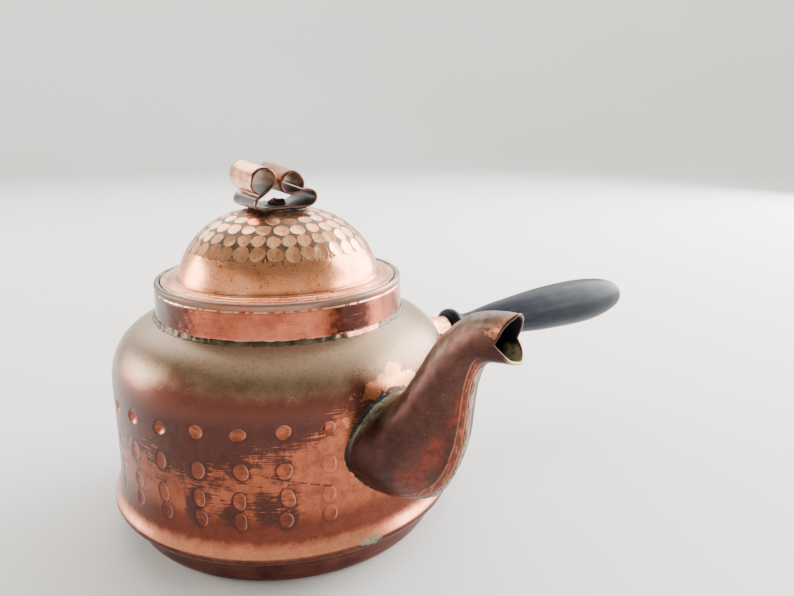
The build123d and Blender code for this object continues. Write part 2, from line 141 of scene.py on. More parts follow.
# The body that each piece rides on, and its slot.
BODY_AND_SLOT = {
    "body_shell": ("kettle", "copper_body"), "bottom_pan": ("kettle", "copper_foot"),
    "neck_collar": ("kettle", "copper_collar"), "collar_solder": ("kettle", "solder"),
    "lid_dome": ("lid", "copper_lid"), "knob_ribbon": ("lid", "copper_knob"),
    "knob_solder": ("lid", "solder"), "knob_rivet": ("lid", "copper_dark"),
    "spout": ("kettle", "copper_spout"), "spout_solder": ("kettle", "solder"),
    "handle_socket": ("kettle", "copper_collar"), "handle_grip": ("kettle", "black_wood"),
}


# ---- curves ----
def curve_through(points, count, start=None, end=None):
    """Points along a smooth curve through these points; start and end are its end directions."""
    given = np.array(points, float)
    gaps = np.linalg.norm(np.diff(given, axis=0), axis=1)
    knots = np.concatenate([[0], np.cumsum(gaps)])
    last = len(given) - 1
    matrix = np.zeros((last + 1, last + 1))
    right = np.zeros_like(given)
    for i in range(1, last):
        before, after = gaps[i - 1], gaps[i]
        matrix[i, i - 1 : i + 2] = 1 / before, 2 / before + 2 / after, 1 / after
        right[i] = 3 * (given[i] - given[i - 1]) / before**2 + 3 * (given[i + 1] - given[i]) / after**2
    for row, near, gap, way in ((0, 1, gaps[0], start), (last, last - 1, gaps[-1], end)):
        if way is None:
            matrix[row, [row, near]] = 2, 1
            right[row] = 3 * (given[near] - given[row]) / gap * (1 if near > row else -1)
        else:
            matrix[row, row] = 1
            right[row] = np.array(way) / np.linalg.norm(way)
    slopes = np.linalg.solve(matrix, right)
    at = np.linspace(0, knots[-1], count)
    i = np.clip(np.searchsorted(knots, at, side="right") - 1, 0, last - 1)
    gap = gaps[i][:, None]
    u = ((at - knots[i])[:, None]) / gap
    bend = (2 * u**3 - 3 * u**2 + 1) * given[i] + (3 * u**2 - 2 * u**3) * given[i + 1]
    return bend + gap * ((u**3 - 2 * u**2 + u) * slopes[i] + (u**3 - u**2) * slopes[i + 1])


def straight(start, end, count):
    """Points from start up to, but not including, end."""
    return [tuple(point) for point in np.linspace(start, end, count, endpoint=False)]


def outline(points, steps=4):
    """A closed outline. A point with a third number is a corner, rounded by that much."""
    made = []
    for i, point in enumerate(points):
        here = np.array(point[:2], float)
        if len(point) == 2:
            made.append(here)
            continue
        before = np.array(points[i - 1][:2], float) - here
        after = np.array(points[(i + 1) % len(points)][:2], float) - here
        first = here + before * min(point[2] / np.linalg.norm(before), 0.48)
        second = here + after * min(point[2] / np.linalg.norm(after), 0.48)
        for share in np.linspace(0, 1, steps + 1):
            made.append((1 - share) ** 2 * first + 2 * share * (1 - share) * here + share**2 * second)
    return np.array(made)


def unit(vectors):
    return vectors / np.maximum(np.linalg.norm(vectors, axis=-1, keepdims=True), 1e-9)


def sideways(line):
    """The direction to the left of the way a curve runs, at each of its points."""
    way = unit(np.gradient(line, axis=0))
    return np.stack([-way[:, 1], way[:, 0]], 1)


def distances(line):
    """How far along a curve each of its points is."""
    return np.concatenate([[0], np.cumsum(np.linalg.norm(np.diff(line, axis=0), axis=1))])


def soft_step(value, low, high):
    share = np.clip((value - low) / (high - low), 0, 1)
    return share * share * (3 - 2 * share)


def bell(value, middle, width, power=2):
    """1 at the middle, falling off to both sides."""
    return np.exp(-(((value - middle) / width) ** power))


def turned(turn, degrees):
    """How far round from a direction each point is, in radians, from -pi to pi."""
    return (turn - radians(degrees) + pi) % (2 * pi) - pi


def round_points(turn, radius, height):
    return np.stack([radius * np.cos(turn), radius * np.sin(turn), height], -1)


def section_grid(section, columns):
    """Radius, turn and height of each point of a section turned round the vertical axis."""
    turn = np.linspace(0, 2 * pi, columns, endpoint=False)
    turn = np.repeat(turn[None], len(section), 0)
    return np.repeat(section[:, :1], columns, 1), turn, np.repeat(section[:, 1:], columns, 1)


# ---- hand-made unevenness ----
def waves(turn, size, seed, lowest=2, highest=7):
    """A gentle unevenness round a ring, as hand work leaves."""
    own = np.random.default_rng(seed)
    total = np.zeros_like(turn)
    for count in range(lowest, highest + 1):
        total += own.normal() * np.sin(count * turn + own.uniform(0, 2 * pi)) / count
    return size * total


def lumps(points, size, seed, count=14):
    """A smooth random height at each point, about -1 to 1, with features of this size."""
    own = np.random.default_rng(seed)
    total = np.zeros(points.shape[:-1])
    for _ in range(count):
        way = own.normal(size=3)
        way *= own.uniform(0.6, 1.8) / np.linalg.norm(way)
        total += np.sin(points @ way * pi / size + own.uniform(0, 2 * pi))
    return total / count**0.5


def spots(turn, along, places):
    """Soft patches at these places, written as the stains are."""
    total = np.zeros(turn.shape)
    for centre, middle, half_width, half_height, strength in places:
        beside = np.degrees(turned(turn, centre))
        total += strength * bell(beside, 0, half_width) * bell(along, middle, half_height)
    return total


# ---- meshes ----
def grid_faces(rows, columns, ends):
    """Quads over a grid of points whose columns close into a ring; ends as in make_piece."""
    last = rows if ends == "joined" else rows - 1
    down, across = np.meshgrid(np.arange(last), np.arange(columns), indexing="ij")
    below, beside = (down + 1) % rows, (across + 1) % columns
    corners = [down * columns + across, down * columns + beside, below * columns + beside]
    faces = np.stack(corners + [below * columns + across], -1).reshape(-1, 4).tolist()
    if ends == "capped":
        faces += [list(range(columns)), list(range((rows - 1) * columns, rows * columns))[::-1]]
    return faces


def make_mesh(name, points, ends, material):
    """A smooth object in the scene, over a grid of points."""
    mesh = bpy.data.meshes.new(name)
    mesh.from_pydata((points.reshape(-1, 3) * MM).tolist(), [], grid_faces(*points.shape[:2], ends))
    mesh.materials.append(material)
    mesh.shade_smooth()
    piece = bpy.data.objects.new(name, mesh)
    bpy.context.scene.collection.objects.link(piece)
    return piece


def make_piece(name, points, node, material, values=None, ends="joined"):
    """A mesh piece in place of a CAD node. values are named numbers, one for each point. The first
    and the last row of points are joined to each other, left open or capped."""
    piece = make_mesh(name, points, ends, material)
    mesh = piece.data
    for key, numbers in (values or {}).items():
        layer = mesh.attributes.new(key, "FLOAT", "POINT")
        layer.data.foreach_set("value", np.ravel(numbers).astype(np.float32))
    shape = bmesh.new()
    shape.from_mesh(mesh)
    bmesh.ops.remove_doubles(shape, verts=shape.verts, dist=1e-7)
    bmesh.ops.recalc_face_normals(shape, faces=shape.faces)
    shape.to_mesh(mesh)
    shape.free()
    body, slot = BODY_AND_SLOT[node]
    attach(piece, body)
    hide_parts(node)
    return piece


# ---- hammer marks ----
def stamp(turn, along, radius, marks):
    """For each point: how deep the marks press it, how far it is from the nearest mark's outline
    (negative inside), and which side of that mark it is on (-1 to 1). A mark is (turn, along,
    half width, half height, lean, depth); turn and lean are in degrees."""
    nearest = np.full(turn.shape, MARK_REACH)
    press = np.zeros(turn.shape)
    side = np.zeros(turn.shape)
    for centre, middle, half_width, half_height, lean, depth in marks:
        first, second, dent = rng.uniform(0, 2 * pi), rng.uniform(0, 2 * pi), rng.uniform(0.85, 1.15)
        beside = turned(turn, centre)
        near = (np.abs(beside) * radius < MARK_REACH) & (np.abs(along - middle) < MARK_REACH)
        across = (beside * radius)[near]
        up = (along - middle)[near]
        a = radians(lean)
        across, up = across * cos(a) + up * sin(a), up * cos(a) - across * sin(a)
        reach = np.hypot(across, up)
        share = np.hypot(across / half_width, up / half_height)
        bearing = np.arctan2(up, across)
        share = share * (1 + 0.05 * np.sin(2 * bearing + first) + 0.035 * np.sin(3 * bearing + second))
        edge = reach - reach / np.maximum(share, 1e-3)
        side[near] = np.where(edge < nearest[near], across / np.maximum(reach, 0.3), side[near])
        nearest[near] = np.minimum(nearest[near], edge)
        press[near] = np.maximum(press[near], depth * dent * np.clip(1 - share**2, 0, None))
    return press, nearest, side


def wall_marks():
    """Four rings of marks round the wall: deep round ones on top, then three rings of tall ovals."""
    columns, first = 28, -48.0
    marks = []
    for middle, half_width, half_height, depth in WALL_RINGS:
        for i in range(columns):
            turn = first + 360 / columns * i + rng.normal() * 0.5
            height = middle + 2.1 * sin(radians(turn + 55)) + rng.normal() * 0.3
            beside = (turn + 180) % 360 - 180
            under_spout = abs(beside) < 21 and height < MARKS_BELOW
            under_socket = abs(beside - HANDLE_TURN) < 13 and height > 42
            wide, tall = half_width * rng.uniform(0.94, 1.07), half_height * rng.uniform(0.94, 1.06)
            lean, press = rng.normal() * 4 + (28 if depth > 0.5 else 0), depth * rng.uniform(0.85, 1.15)
            if not (under_spout or under_socket):
                marks.append((turn, height, wide, tall, lean, press))
    return marks


def dome_marks(along_at):
    """Rings of ovals over the dome's upper half; along_at gives the distance down the dome at a height."""
    marks = []
    for height, count, first, half_width, half_height in DOME_RINGS:
        for i in range(count):
            turn = first + 360 / count * i + rng.normal() * 0.6
            middle = along_at(height) + rng.normal() * 0.14
            wide, tall = half_width * rng.uniform(0.9, 1.09), half_height * rng.uniform(0.92, 1.1)
            marks.append((turn, middle, wide, tall, rng.normal() * 8, 0.14 * rng.uniform(0.5, 1.4)))
    return marks


# ---- finishes ----
def screen(red, green, blue):
    """A colour given by its screen values, 0 to 255, in Blender's linear numbers."""
    linear = [((c / 255 + 0.055) / 1.055) ** 2.4 if c > 10 else c / 3294 for c in (red, green, blue)]
    return (*linear, 1)


class Value:
    """A number or a colour that a finish's nodes work out, written as ordinary arithmetic."""

    def __init__(self, finish, socket):
        self.finish, self.socket = finish, socket

    def maths(self, operation, first, second=0.0):
        return self.finish.add("ShaderNodeMath", {0: first, 1: second}, operation=operation)

    def __add__(self, other):
        return self.maths("ADD", self, other)

    def __mul__(self, other):
        return self.maths("MULTIPLY", self, other)

    def __sub__(self, other):
        return self.maths("SUBTRACT", self, other)

    def __rsub__(self, other):
        return self.maths("SUBTRACT", other, self)

    __radd__ = __add__

    def __abs__(self):
        return self.maths("ABSOLUTE", self)

    def sine(self):
        return self.maths("SINE", self)

    def most(self, other):
        return self.maths("MAXIMUM", self, other)

    def sway(self, size):
        """A noise turned into a number of this size that goes both ways from 0."""
        return (self - 0.5) * size

    def step(self, low, high):
        """0 below low, 1 above high and smooth between; low may be the larger one."""
        inputs = {0: self, 1: low, 2: high}
        return self.finish.add("ShaderNodeMapRange", inputs, interpolation_type="SMOOTHSTEP")

    def between(self, a, b):
        """A plain number that goes from a to b."""
        return self.finish.add("ShaderNodeMapRange", {0: self, 3: a, 4: b})

    def mix(self, a, b):
        """Colour b over colour a. A colour is a value or three screen numbers."""
        under, over = [screen(*c) if isinstance(c, tuple) else c for c in (a, b)]
        return self.finish.add("ShaderNodeMix", {0: self, 6: under, 7: over}, 2, data_type="RGBA")


class Finish:
    """A material put together from nodes."""

    def __init__(self, name):
        self.material = bpy.data.materials.new(name)
        self.material.use_nodes = True
        self.tree = self.material.node_tree
        self.shader = self.tree.nodes["Principled BSDF"]
        place = self.add("ShaderNodeTexCoord", output="Object")
        self.place = self.add("ShaderNodeVectorMath", {0: place, 3: 1 / MM}, operation="SCALE")
        self.height = self.add("ShaderNodeSeparateXYZ", {0: self.place}, 2)

    def add(self, kind, inputs=None, output=0, **settings):
        """One of a new node's outputs. Its inputs are values or plain numbers."""
        node = self.tree.nodes.new(kind)
        for key, value in settings.items():
            setattr(node, key, value)
        self.connect(node, inputs or {})
        return Value(self, node.outputs[output])

    def connect(self, node, inputs):
        for key, value in inputs.items():
            if isinstance(value, Value):
                self.tree.links.new(value.socket, node.inputs[key])
            else:
                node.inputs[key].default_value = value

    def value(self, name):
        """A number that the mesh carries at each point."""
        return self.add("ShaderNodeAttribute", output="Fac", attribute_name=name)

    def noise(self, size, detail=4.0, rough=0.55, stretch=(1, 1, 1), place=None, warp=0.0):
        """Noise with features of this many millimetres, longer along an axis by its stretch."""
        squeeze = {0: place or self.place, 1: tuple(1 / s for s in stretch)}
        place = self.add("ShaderNodeVectorMath", squeeze, operation="MULTIPLY")
        inputs = {"Vector": place, "Scale": 1 / size, "Detail": detail, "Roughness": rough}
        return self.add("ShaderNodeTexNoise", {**inputs, "Distortion": warp})

    def cloud(self, size, rough=0.6):
        return self.noise(size, 5, rough)

    def grain(self, size, rough=0.65):
        return self.noise(size, 6, rough)

    def speck(self, size):
        return self.noise(size, 4, 0.7)

    def finished(self, colour, metal, rough, relief=None, depth=0.0, tinned=False):
        """The material. relief stands up by this depth in millimetres; a tinned one has grey tin
        where the mesh says that it faces inside."""
        if tinned:
            tin, cloud = self.value("tin"), self.cloud(9)
            grey = cloud.step(0.4, 0.62).mix((150, 146, 138), (104, 98, 86))
            stained = self.noise(2.5, 5, 0.7).step(0.55, 0.7).mix(grey, (88, 78, 58))
            colour = tin.mix(colour, stained)
            metal = (1 - tin) * metal + tin * 0.8
            rough = (1 - tin) * rough + tin * cloud.between(0.34, 0.62)
        inputs = {"Base Color": colour, "Metallic": metal, "Roughness": rough}
        if relief:
            bump = {"Height": relief, "Distance": depth * MM, "Strength": 1.0}
            inputs["Normal"] = self.add("ShaderNodeBump", bump)
        self.connect(self.shader, inputs)
        return self.material


def body_finish():
    f = Finish("old_copper_body")
    cloud, grain, speck = f.cloud(22), f.grain(3.2), f.speck(0.5)
    level, upright = f.noise(0.5, 4, 0.65, (16, 16, 0.8)), f.noise(0.55, 4, 0.65, (0.8, 0.8, 18))
    edge, side, bare = f.value("edge"), f.value("side"), f.value("bare")
    rubbed = cloud.step(0.36, 0.66).mix((166, 92, 66), (132, 72, 54))
    rubbed = (grain.step(0.42, 0.68) * 0.6).mix(rubbed, (106, 58, 47))
    rubbed = (speck.step(0.52, 0.66) * 0.35).mix(rubbed, (100, 56, 44))
    scoured = level.step(0.56, 0.7).most(upright.step(0.6, 0.72) * 0.6)
    rubbed = (scoured * 0.4).mix(rubbed, (104, 54, 44))
    # Under the lowest ring of marks the wall is dark, down to the bright flare.
    foot_shade = f.height.step(31, 24) * (f.height + grain * 2).step(18.5, 21)
    rubbed = (foot_shade * 0.8).mix(rubbed, (84, 44, 38))
    brown = grain.step(0.4, 0.65).mix((58, 30, 27), (72, 39, 34))
    brown = (cloud.step(0.5, 0.7) * 0.5).mix(brown, (92, 52, 44))
    # Higher up the wall the skin is thinner and redder.
    brown = (f.height.step(57, 66) * 0.8).mix(brown, grain.mix((118, 70, 58), (96, 58, 50)))
    # The brown skin wears off in streaks, along and up, and stays longest round the marks.
    streaks = level.sway(1.9) + upright.sway(0.35)
    around = edge.step(2.2, 0.1) * 0.22
    wear = f.value("grime") + around + streaks + grain.sway(1.3)
    skin = wear.step(0.5, 0.68)
    inside_mark = edge.step(0.05, -0.45)
    skin = skin * inside_mark.between(1.0, f.height.step(48, 51).between(0.45, 0.1))
    lower_wall = f.height.step(68, 60)
    colour = (skin * 0.95).mix(rubbed, brown)
    olive = f.noise(1.1, 5, 0.7).step(0.45, 0.62).mix((160, 130, 100), (138, 120, 90))
    olive = speck.step(0.6, 0.7).mix(olive, (184, 172, 140))
    olive = (speck.step(0.42, 0.34) * 0.6).mix(olive, (92, 78, 60))
    bloom = (f.height + cloud.sway(20)).step(65, 75)
    bloom = bloom * f.height.step(56, 60)
    colour = (bloom * 0.85).mix(colour, olive)
    # The dark outline round each mark is partly patina and partly painted shade: it is wider on one side of
    # the mark. The lit crescent on the other side is a painted highlight.
    wander = f.noise(3.5, 3, 0.6).between(0.05, 1.0)
    reach = (0.5 + side.step(0.9, -0.9) * 0.95) * wander
    ring = edge.step(reach, reach * 0.3) * edge.step(-0.35, 0.0)
    ring = ring * f.height.step(51, 48)
    ring = ring * f.value("grime").step(0.0, 0.42).between(0.25, 0.9)
    colour = ring.mix(colour, (60, 33, 30))
    lit = abs(edge + 0.4).step(0.4, 0.1) * side.step(0.0, 0.75)
    colour = (lit * 0.28).mix(colour, (236, 164, 128))
    # The flare is rubbed copper painted brighter, partly a painted highlight.
    flare = (f.height + grain * 2).step(20.5, 17) * f.height.step(14.3, 14.9)
    colour = (flare * 0.9).mix(colour, grain.mix((216, 142, 106), (180, 110, 82)))
    fold = f.height.step(14.7, 14.2)
    mauve = cloud.step(0.4, 0.62).mix((90, 60, 55), (66, 42, 38))
    colour = (fold * 0.8).mix(colour, mauve)
    scratch = abs(f.value("scratch")).step(0.34, 0.16) * f.noise(1.3, 2, 0.5).step(0.44, 0.5)
    colour = (scratch * 0.85).mix(colour, (58, 32, 28))
    pits = f.noise(0.7, 2, 0.5, (3, 3, 0.8)).step(0.71, 0.76) * f.height.step(20, 17)
    colour = pits.mix(colour, (70, 36, 30))
    clean = (bare + grain.sway(1.5)).step(0.42, 0.52)
    colour = clean.mix(colour, grain.mix((222, 150, 112), (190, 114, 84)))
    green = (f.value("verdigris") + f.speck(1.5).sway(1.6)).step(0.45, 0.62)
    colour = (green * 0.7).mix(colour, grain.mix((92, 122, 106), (150, 140, 112)))
    patina = (skin * lower_wall).most(bloom) * (1 - clean)
    metal = patina.most(green).between(1.0, 0.72)
    rough = patina.between(0.28, 0.3) + grain.sway(0.16)
    relief = grain * 0.5 + speck * 0.22 + skin * 0.2
    relief = relief + level * 0.3 + upright * 0.3 + bloom * speck * 0.5
    return f.finished(colour, metal, rough, relief, 0.09, tinned=True)


def lid_finish():
    f = Finish("hammered_lid_copper")
    cloud, grain, speck = f.cloud(11), f.grain(2.2), f.speck(0.45)
    edge, tone = f.value("edge"), f.value("side")
    copper = cloud.step(0.35, 0.68).mix((240, 162, 114), (222, 138, 92))
    copper = (grain.step(0.5, 0.72) * 0.4).mix(copper, (192, 110, 74))
    # Inside the marks the copper is clean and paler, partly a painted highlight, and it is painted lighter on
    # one side of each mark.
    facet = tone.step(-0.6, 0.6).mix((255, 194, 140), (244, 168, 116))
    copper = (edge.step(0.1, -0.3) * 0.8).mix(copper, facet)
    wander = f.noise(2.6, 3).sway(1.1)
    between = (edge + wander).step(-0.08, 0.08)
    crown = (f.height + grain.sway(1.5)).step(104.9, 105.2)
    # Below the lowest ring the dark runs out in small points between the marks.
    narrow = abs(tone) + (f.height - 104.9) * 0.13
    corner = narrow.step(0.5, 0.55) * edge.step(0.0, 0.14)
    corner = corner * (f.height + f.noise(3.0, 2) * 3.2).step(104.9, 105.3)
    dark = (between * crown).most(corner)
    olive = grain.step(0.4, 0.62).mix((72, 54, 42), (104, 84, 62))
    colour = (dark * 0.96).mix(copper, olive)
    groove = abs(f.height - 94.4).step(1.1, 0.2) * cloud.step(0.3, 0.6)
    colour = (groove * 0.55).mix(colour, (150, 92, 52))
    rubs = f.noise(0.7, 4, 0.7, (14, 14, 1)).step(0.55, 0.72)
    colour = (rubs * 0.3).mix(colour, (168, 104, 70))
    smudge = f.noise(14, 4, 0.6, (1, 1, 0.5)).step(0.56, 0.66) * f.height.step(106, 100)
    colour = (smudge * 0.55).mix(colour, (150, 92, 62))
    pits = f.noise(0.7, 1.5, 0.5).step(0.655, 0.69)
    colour = pits.mix(colour, (70, 44, 36))
    rim = (f.value("rim") + grain.sway(2.2)).step(0.75, 0.9)
    silver = speck.step(0.4, 0.6).mix((220, 206, 186), (120, 104, 88))
    colour = (rim * 0.7).mix(colour, silver)
    metal = dark.between(1.0, 0.7)
    rough = dark.between(0.22, 0.42) + (grain - 0.4) * 0.2
    relief = grain * 0.4 + speck * 0.2 + dark * -0.35
    return f.finished(colour, metal, rough, relief, 0.07, tinned=True)


def collar_finish():
    f = Finish("red_copper_band")
    cloud, grain, speck = f.cloud(14), f.grain(2.0), f.speck(0.4)
    copper = cloud.step(0.35, 0.65).mix((192, 108, 80), (150, 78, 58))
    brown = grain.mix((84, 48, 42), (62, 36, 33))
    # The shade value paints shade and dark reflections on the band and on its bead.
    shade = f.value("shade")
    colour = (shade + grain.sway(0.8)).step(0.35, 0.75).mix(copper, brown)
    colour = (shade.step(0.7, 1.0) * 0.6).mix(colour, (48, 27, 25))
    scuffs = f.noise(0.8, 5, 0.7, (9, 9, 1)).step(0.56, 0.66)
    colour = (scuffs * 0.5).mix(colour, (128, 70, 58))
    bead = (f.height + grain.sway(0.9)).step(90.5, 91.1)
    grey = cloud.step(0.4, 0.6).mix((140, 122, 108), (166, 114, 90))
    grey = speck.step(0.6, 0.68).mix(grey, (216, 206, 190))
    colour = (bead * 0.8).mix(colour, grey)
    colour = (bead * shade * 0.8).mix(colour, (88, 68, 60))
    # A painted highlight: a thin bright line along the crease under the bead.
    crease = abs(f.height - 90.45).step(0.3, 0.1) * grain.step(0.44, 0.52)
    colour = (crease * 0.8).mix(colour, (250, 196, 158))
    worn = f.height.step(81.6, 81.0) * grain.step(0.4, 0.55)
    colour = (worn * 0.7).mix(colour, (246, 182, 150))
    colour = f.noise(0.6, 1.5, 0.5).step(0.735, 0.77).mix(colour, (74, 46, 40))
    metal = bead.between(1.0, 0.85)
    rough = bead.between(0.26, shade.between(0.36, 0.5)) + grain.sway(0.2)
    relief = grain * 0.5 + speck * 0.25 + scuffs * -0.2
    return f.finished(colour, metal, rough, relief, 0.08, tinned=True)


def foot_finish():
    f = Finish("foot_copper")
    cloud, grain = f.cloud(12), f.grain(2.4)
    streak = f.noise(1.6, 4, 0.6, (16, 16, 1))
    colour = cloud.step(0.38, 0.66).mix((100, 58, 49), (72, 40, 37))
    colour = (streak.step(0.52, 0.7) * 0.5).mix(colour, (140, 84, 68))
    green = f.noise(6, 5, 0.7).step(0.62, 0.72) * f.height.step(8, 12)
    green = green.most((f.value("verdigris") + grain.sway(1.4)).step(0.45, 0.6))
    colour = (green * 0.6).mix(colour, (110, 140, 118))
    rough = 0.38 + grain.sway(0.24)
    relief = grain * 0.5 + f.speck(0.5) * 0.25
    return f.finished(colour, green.between(0.9, 0.4), rough, relief, 0.08, tinned=True)


def spout_finish():
    f = Finish("spout_brown_copper")
    cloud, grain, speck = f.cloud(9, 0.62), f.grain(2.1, 0.68), f.speck(0.5)
    level, upright = f.noise(0.55, 3, 0.6, (9, 9, 0.8)), f.noise(0.6, 3, 0.6, (0.8, 0.8, 12))
    hatch = level.step(0.56, 0.68).most(upright.step(0.57, 0.69))
    brown = cloud.step(0.38, 0.64).mix((78, 49, 43), (58, 35, 32))
    # Painted shade: the spout is darker towards its bottom.
    brown = (f.height.step(50, 32) * 0.85).mix(brown, (42, 25, 25))
    brown = (speck.step(0.55, 0.66) * 0.3).mix(brown, (116, 82, 68))
    red = grain.step(0.42, 0.6).mix((116, 54, 42), (88, 42, 36))
    patch = f.value("red") + grain.sway(1.8) + cloud.sway(2.0)
    colour = (patch.step(0.3, 0.8) * 0.85).mix(brown, red)
    flecks = f.noise(1.4, 4, 0.65, (0.8, 0.8, 3)).step(0.52, 0.62)
    strip = flecks.mix((106, 56, 45), (172, 98, 66))
    ridge = (f.value("ridge") + grain.sway(0.4)).step(0.35, 0.7)
    colour = (ridge * 0.85).mix(colour, strip)
    # A painted reflection: a pale, streaky band down the far facet beside the lap.
    reflection_streaks = f.noise(0.8, 4, 0.6, (1, 1, 12))
    pale = reflection_streaks.step(0.42, 0.6).mix((190, 160, 142), (110, 76, 66))
    colour = (f.value("facet").step(0.25, 0.6) * 0.85).mix(colour, pale)
    top = (f.value("top") + cloud.sway(1.2)).step(0.4, 0.75)
    grey = grain.step(0.4, 0.6).mix((112, 98, 80), (88, 72, 60))
    colour = (top * 0.75).mix(colour, grey)
    colour = (hatch * 0.06).mix(colour, (150, 104, 84))
    ragged = grain.sway(2.4) + cloud.sway(1.6)
    lip = (f.value("lip") + ragged).step(0.6, 0.85)
    worn = grain.step(0.4, 0.6).mix((176, 114, 80), (126, 80, 58))
    colour = (lip * 0.85).mix(colour, worn)
    colour = (f.value("groove") * 0.75).mix(colour, (42, 27, 26))
    glint = f.value("glint") * f.noise(1.2, 4, 0.6, (1, 1, 3)).step(0.3, 0.5)
    colour = (glint * 0.8).mix(colour, (196, 122, 88))
    # A pale green-grey crust lies in fine lines beside the solder, over the top of the base.
    phase = f.value("from_wall") * 7.0 + f.noise(2.5, 4, 0.6) * 9.0
    lines = phase.sine().between(0.6, 1.0)
    crusted = (f.value("crust") + grain.sway(0.9)).step(0.12, 0.5)
    green_grey = grain.step(0.4, 0.62).mix((186, 184, 154), (112, 110, 88))
    colour = (crusted * lines * 0.9).mix(colour, green_grey)
    dots = f.noise(0.9, 1.5, 0.5).step(0.765, 0.79)
    colour = (dots * 0.8).mix(colour, (178, 124, 96))
    # Inside, the spout is painted near black as painted shade; the tin shows only on the floor by the mouth.
    inside = f.value("tin")
    tin = f.cloud(3, 0.65).step(0.42, 0.62).mix((206, 194, 150), (138, 130, 100))
    tin = f.value("floor").step(0.7, 0.1).mix(tin, (38, 40, 48))
    colour = inside.mix(colour, tin)
    rim_pale = grain.step(0.4, 0.6).mix((222, 196, 168), (178, 140, 112))
    rim_dark = grain.step(0.4, 0.6).mix((88, 58, 46), (54, 36, 32))
    rim_colour = f.value("lower").mix(rim_dark, rim_pale)
    colour = (f.value("rim") + grain.sway(0.5)).step(0.5, 0.8).mix(colour, rim_colour)
    metal = inside.most(top).between(0.85, 0.65)
    rough = inside.between(0.4, 0.5) + grain.sway(0.2)
    relief = grain * 0.45 + speck * 0.2 + hatch * -0.08
    return f.finished(colour, metal, rough, relief, 0.08)


def knob_finish():
    f = Finish("knob_strip_copper")
    cloud, grain, speck = f.cloud(5), f.grain(1.4), f.speck(0.4)
    pink = cloud.step(0.4, 0.62).mix((244, 176, 136), (212, 136, 100))
    orange = cloud.step(0.4, 0.6).mix((150, 92, 44), (100, 70, 32))
    colour = f.value("side").mix(pink, orange)
    # Painted shade: the low part of the left scroll's fold is darker.
    low = cloud.step(0.4, 0.6).mix((84, 76, 74), (66, 54, 50))
    colour = (f.value("fold") + grain.sway(0.6)).step(0.35, 0.7).mix(colour, low)
    colour = f.noise(0.9, 2, 0.5).step(0.68, 0.72).mix(colour, (110, 62, 56))
    # Painted shade inside the scrolls: near black low in the curl, tan higher up.
    inner = f.value("inner")
    streaks = f.noise(0.8, 4, 0.6, (1, 7, 1))
    tan = streaks.step(0.42, 0.6).mix((166, 122, 80), (92, 66, 46))
    dark = grain.step(0.42, 0.6).mix((24, 26, 25), (46, 43, 36))
    inside = (f.value("curl") + cloud.sway(0.9)).step(0.35, 0.62).mix(dark, tan)
    colour = inner.mix(colour, inside)
    cut = grain.step(0.4, 0.6).mix((96, 62, 50), (62, 42, 36))
    colour = f.value("cut").mix(colour, cut)
    metal = inner.most(f.value("fold") * 0.8).between(1.0, 0.4)
    dull = inner.most(f.value("side") * 0.9)
    rough = dull.between(0.22, 0.46) + grain.sway(0.2)
    relief = grain * 0.4 + speck * 0.15
    return f.finished(colour, metal, rough, relief, 0.06)


def solder_finish():
    f = Finish("old_solder")
    cloud, grain, speck = f.cloud(4, 0.65), f.grain(1.0, 0.7), f.speck(0.35)
    dull = cloud.step(0.4, 0.62).mix((40, 39, 37), (24, 24, 25))
    pale = grain.step(0.4, 0.62).mix((112, 110, 94), (54, 54, 47))
    # Pale where the crust value is high: partly a pale crust, partly a painted highlight on top. The dull
    # dark elsewhere includes painted shade under the knob's left scroll.
    pale_crust_and_highlight = (f.value("crust") + cloud.sway(2.2)).step(0.8, 1.15)
    colour = pale_crust_and_highlight.mix(dull, pale)
    colour = grain.step(0.58, 0.68).mix(colour, (46, 40, 36))
    colour = (speck.step(0.55, 0.7) * 0.3).mix(colour, (112, 112, 92))
    rough = 0.46 + grain.sway(0.3)
    return f.finished(colour, 0.45, rough, grain + speck * 0.4, 0.3)


def tarnished_finish():
    """The solder under the neck band: stained like the shoulder, copper-coloured where it was cleaned."""
    f = Finish("tarnished_solder")
    cloud, grain = f.cloud(5, 0.65), f.grain(1.2, 0.7)
    colour = cloud.step(0.4, 0.62).mix((92, 82, 62), (60, 50, 40))
    clean = (f.value("crust") + cloud.sway(1.4)).step(0.45, 0.6)
    colour = clean.mix(colour, (214, 146, 112))
    colour = grain.step(0.6, 0.68).mix(colour, (120, 108, 82))
    return f.finished(colour, 0.85, 0.38 + grain.sway(0.3), grain, 0.12)


def dark_finish():
    f = Finish("rivet_dark_copper")
    cloud, grain = f.cloud(1.6, 0.65), f.noise(0.5, 5, 0.7)
    colour = cloud.step(0.4, 0.6).mix((48, 46, 44), (78, 66, 56))
    red = (f.value("tone") + cloud.sway(0.8)).step(0.45, 0.7)
    colour = red.mix(colour, (128, 62, 54))
    return f.finished(colour, 0.65, 0.42 + grain.sway(0.3), grain, 0.2)


def plain_copper_finish():
    f = Finish("inner_copper")
    cloud, grain = f.cloud(7), f.grain(1.6)
    colour = cloud.step(0.4, 0.62).mix((206, 128, 96), (150, 88, 66))
    colour = (grain.step(0.5, 0.7) * 0.5).mix(colour, (108, 78, 62))
    return f.finished(colour, 0.95, 0.34 + grain.sway(0.25), grain, 0.06)


def socket_finish():
    f = Finish("socket_copper")
    cloud, grain, speck = f.cloud(6), f.grain(1.6), f.speck(0.4)
    colour = cloud.step(0.36, 0.64).mix((246, 182, 144), (212, 134, 98))
    colour = (grain.step(0.5, 0.7) * 0.5).mix(colour, (160, 96, 70))
    colour = (f.value("shade") + grain.sway(0.8)).step(0.4, 0.8).mix(colour, (98, 62, 50))
    relief = grain * 0.5 + speck * 0.25
    return f.finished(colour, 1.0, 0.3 + grain.sway(0.24), relief, 0.08)


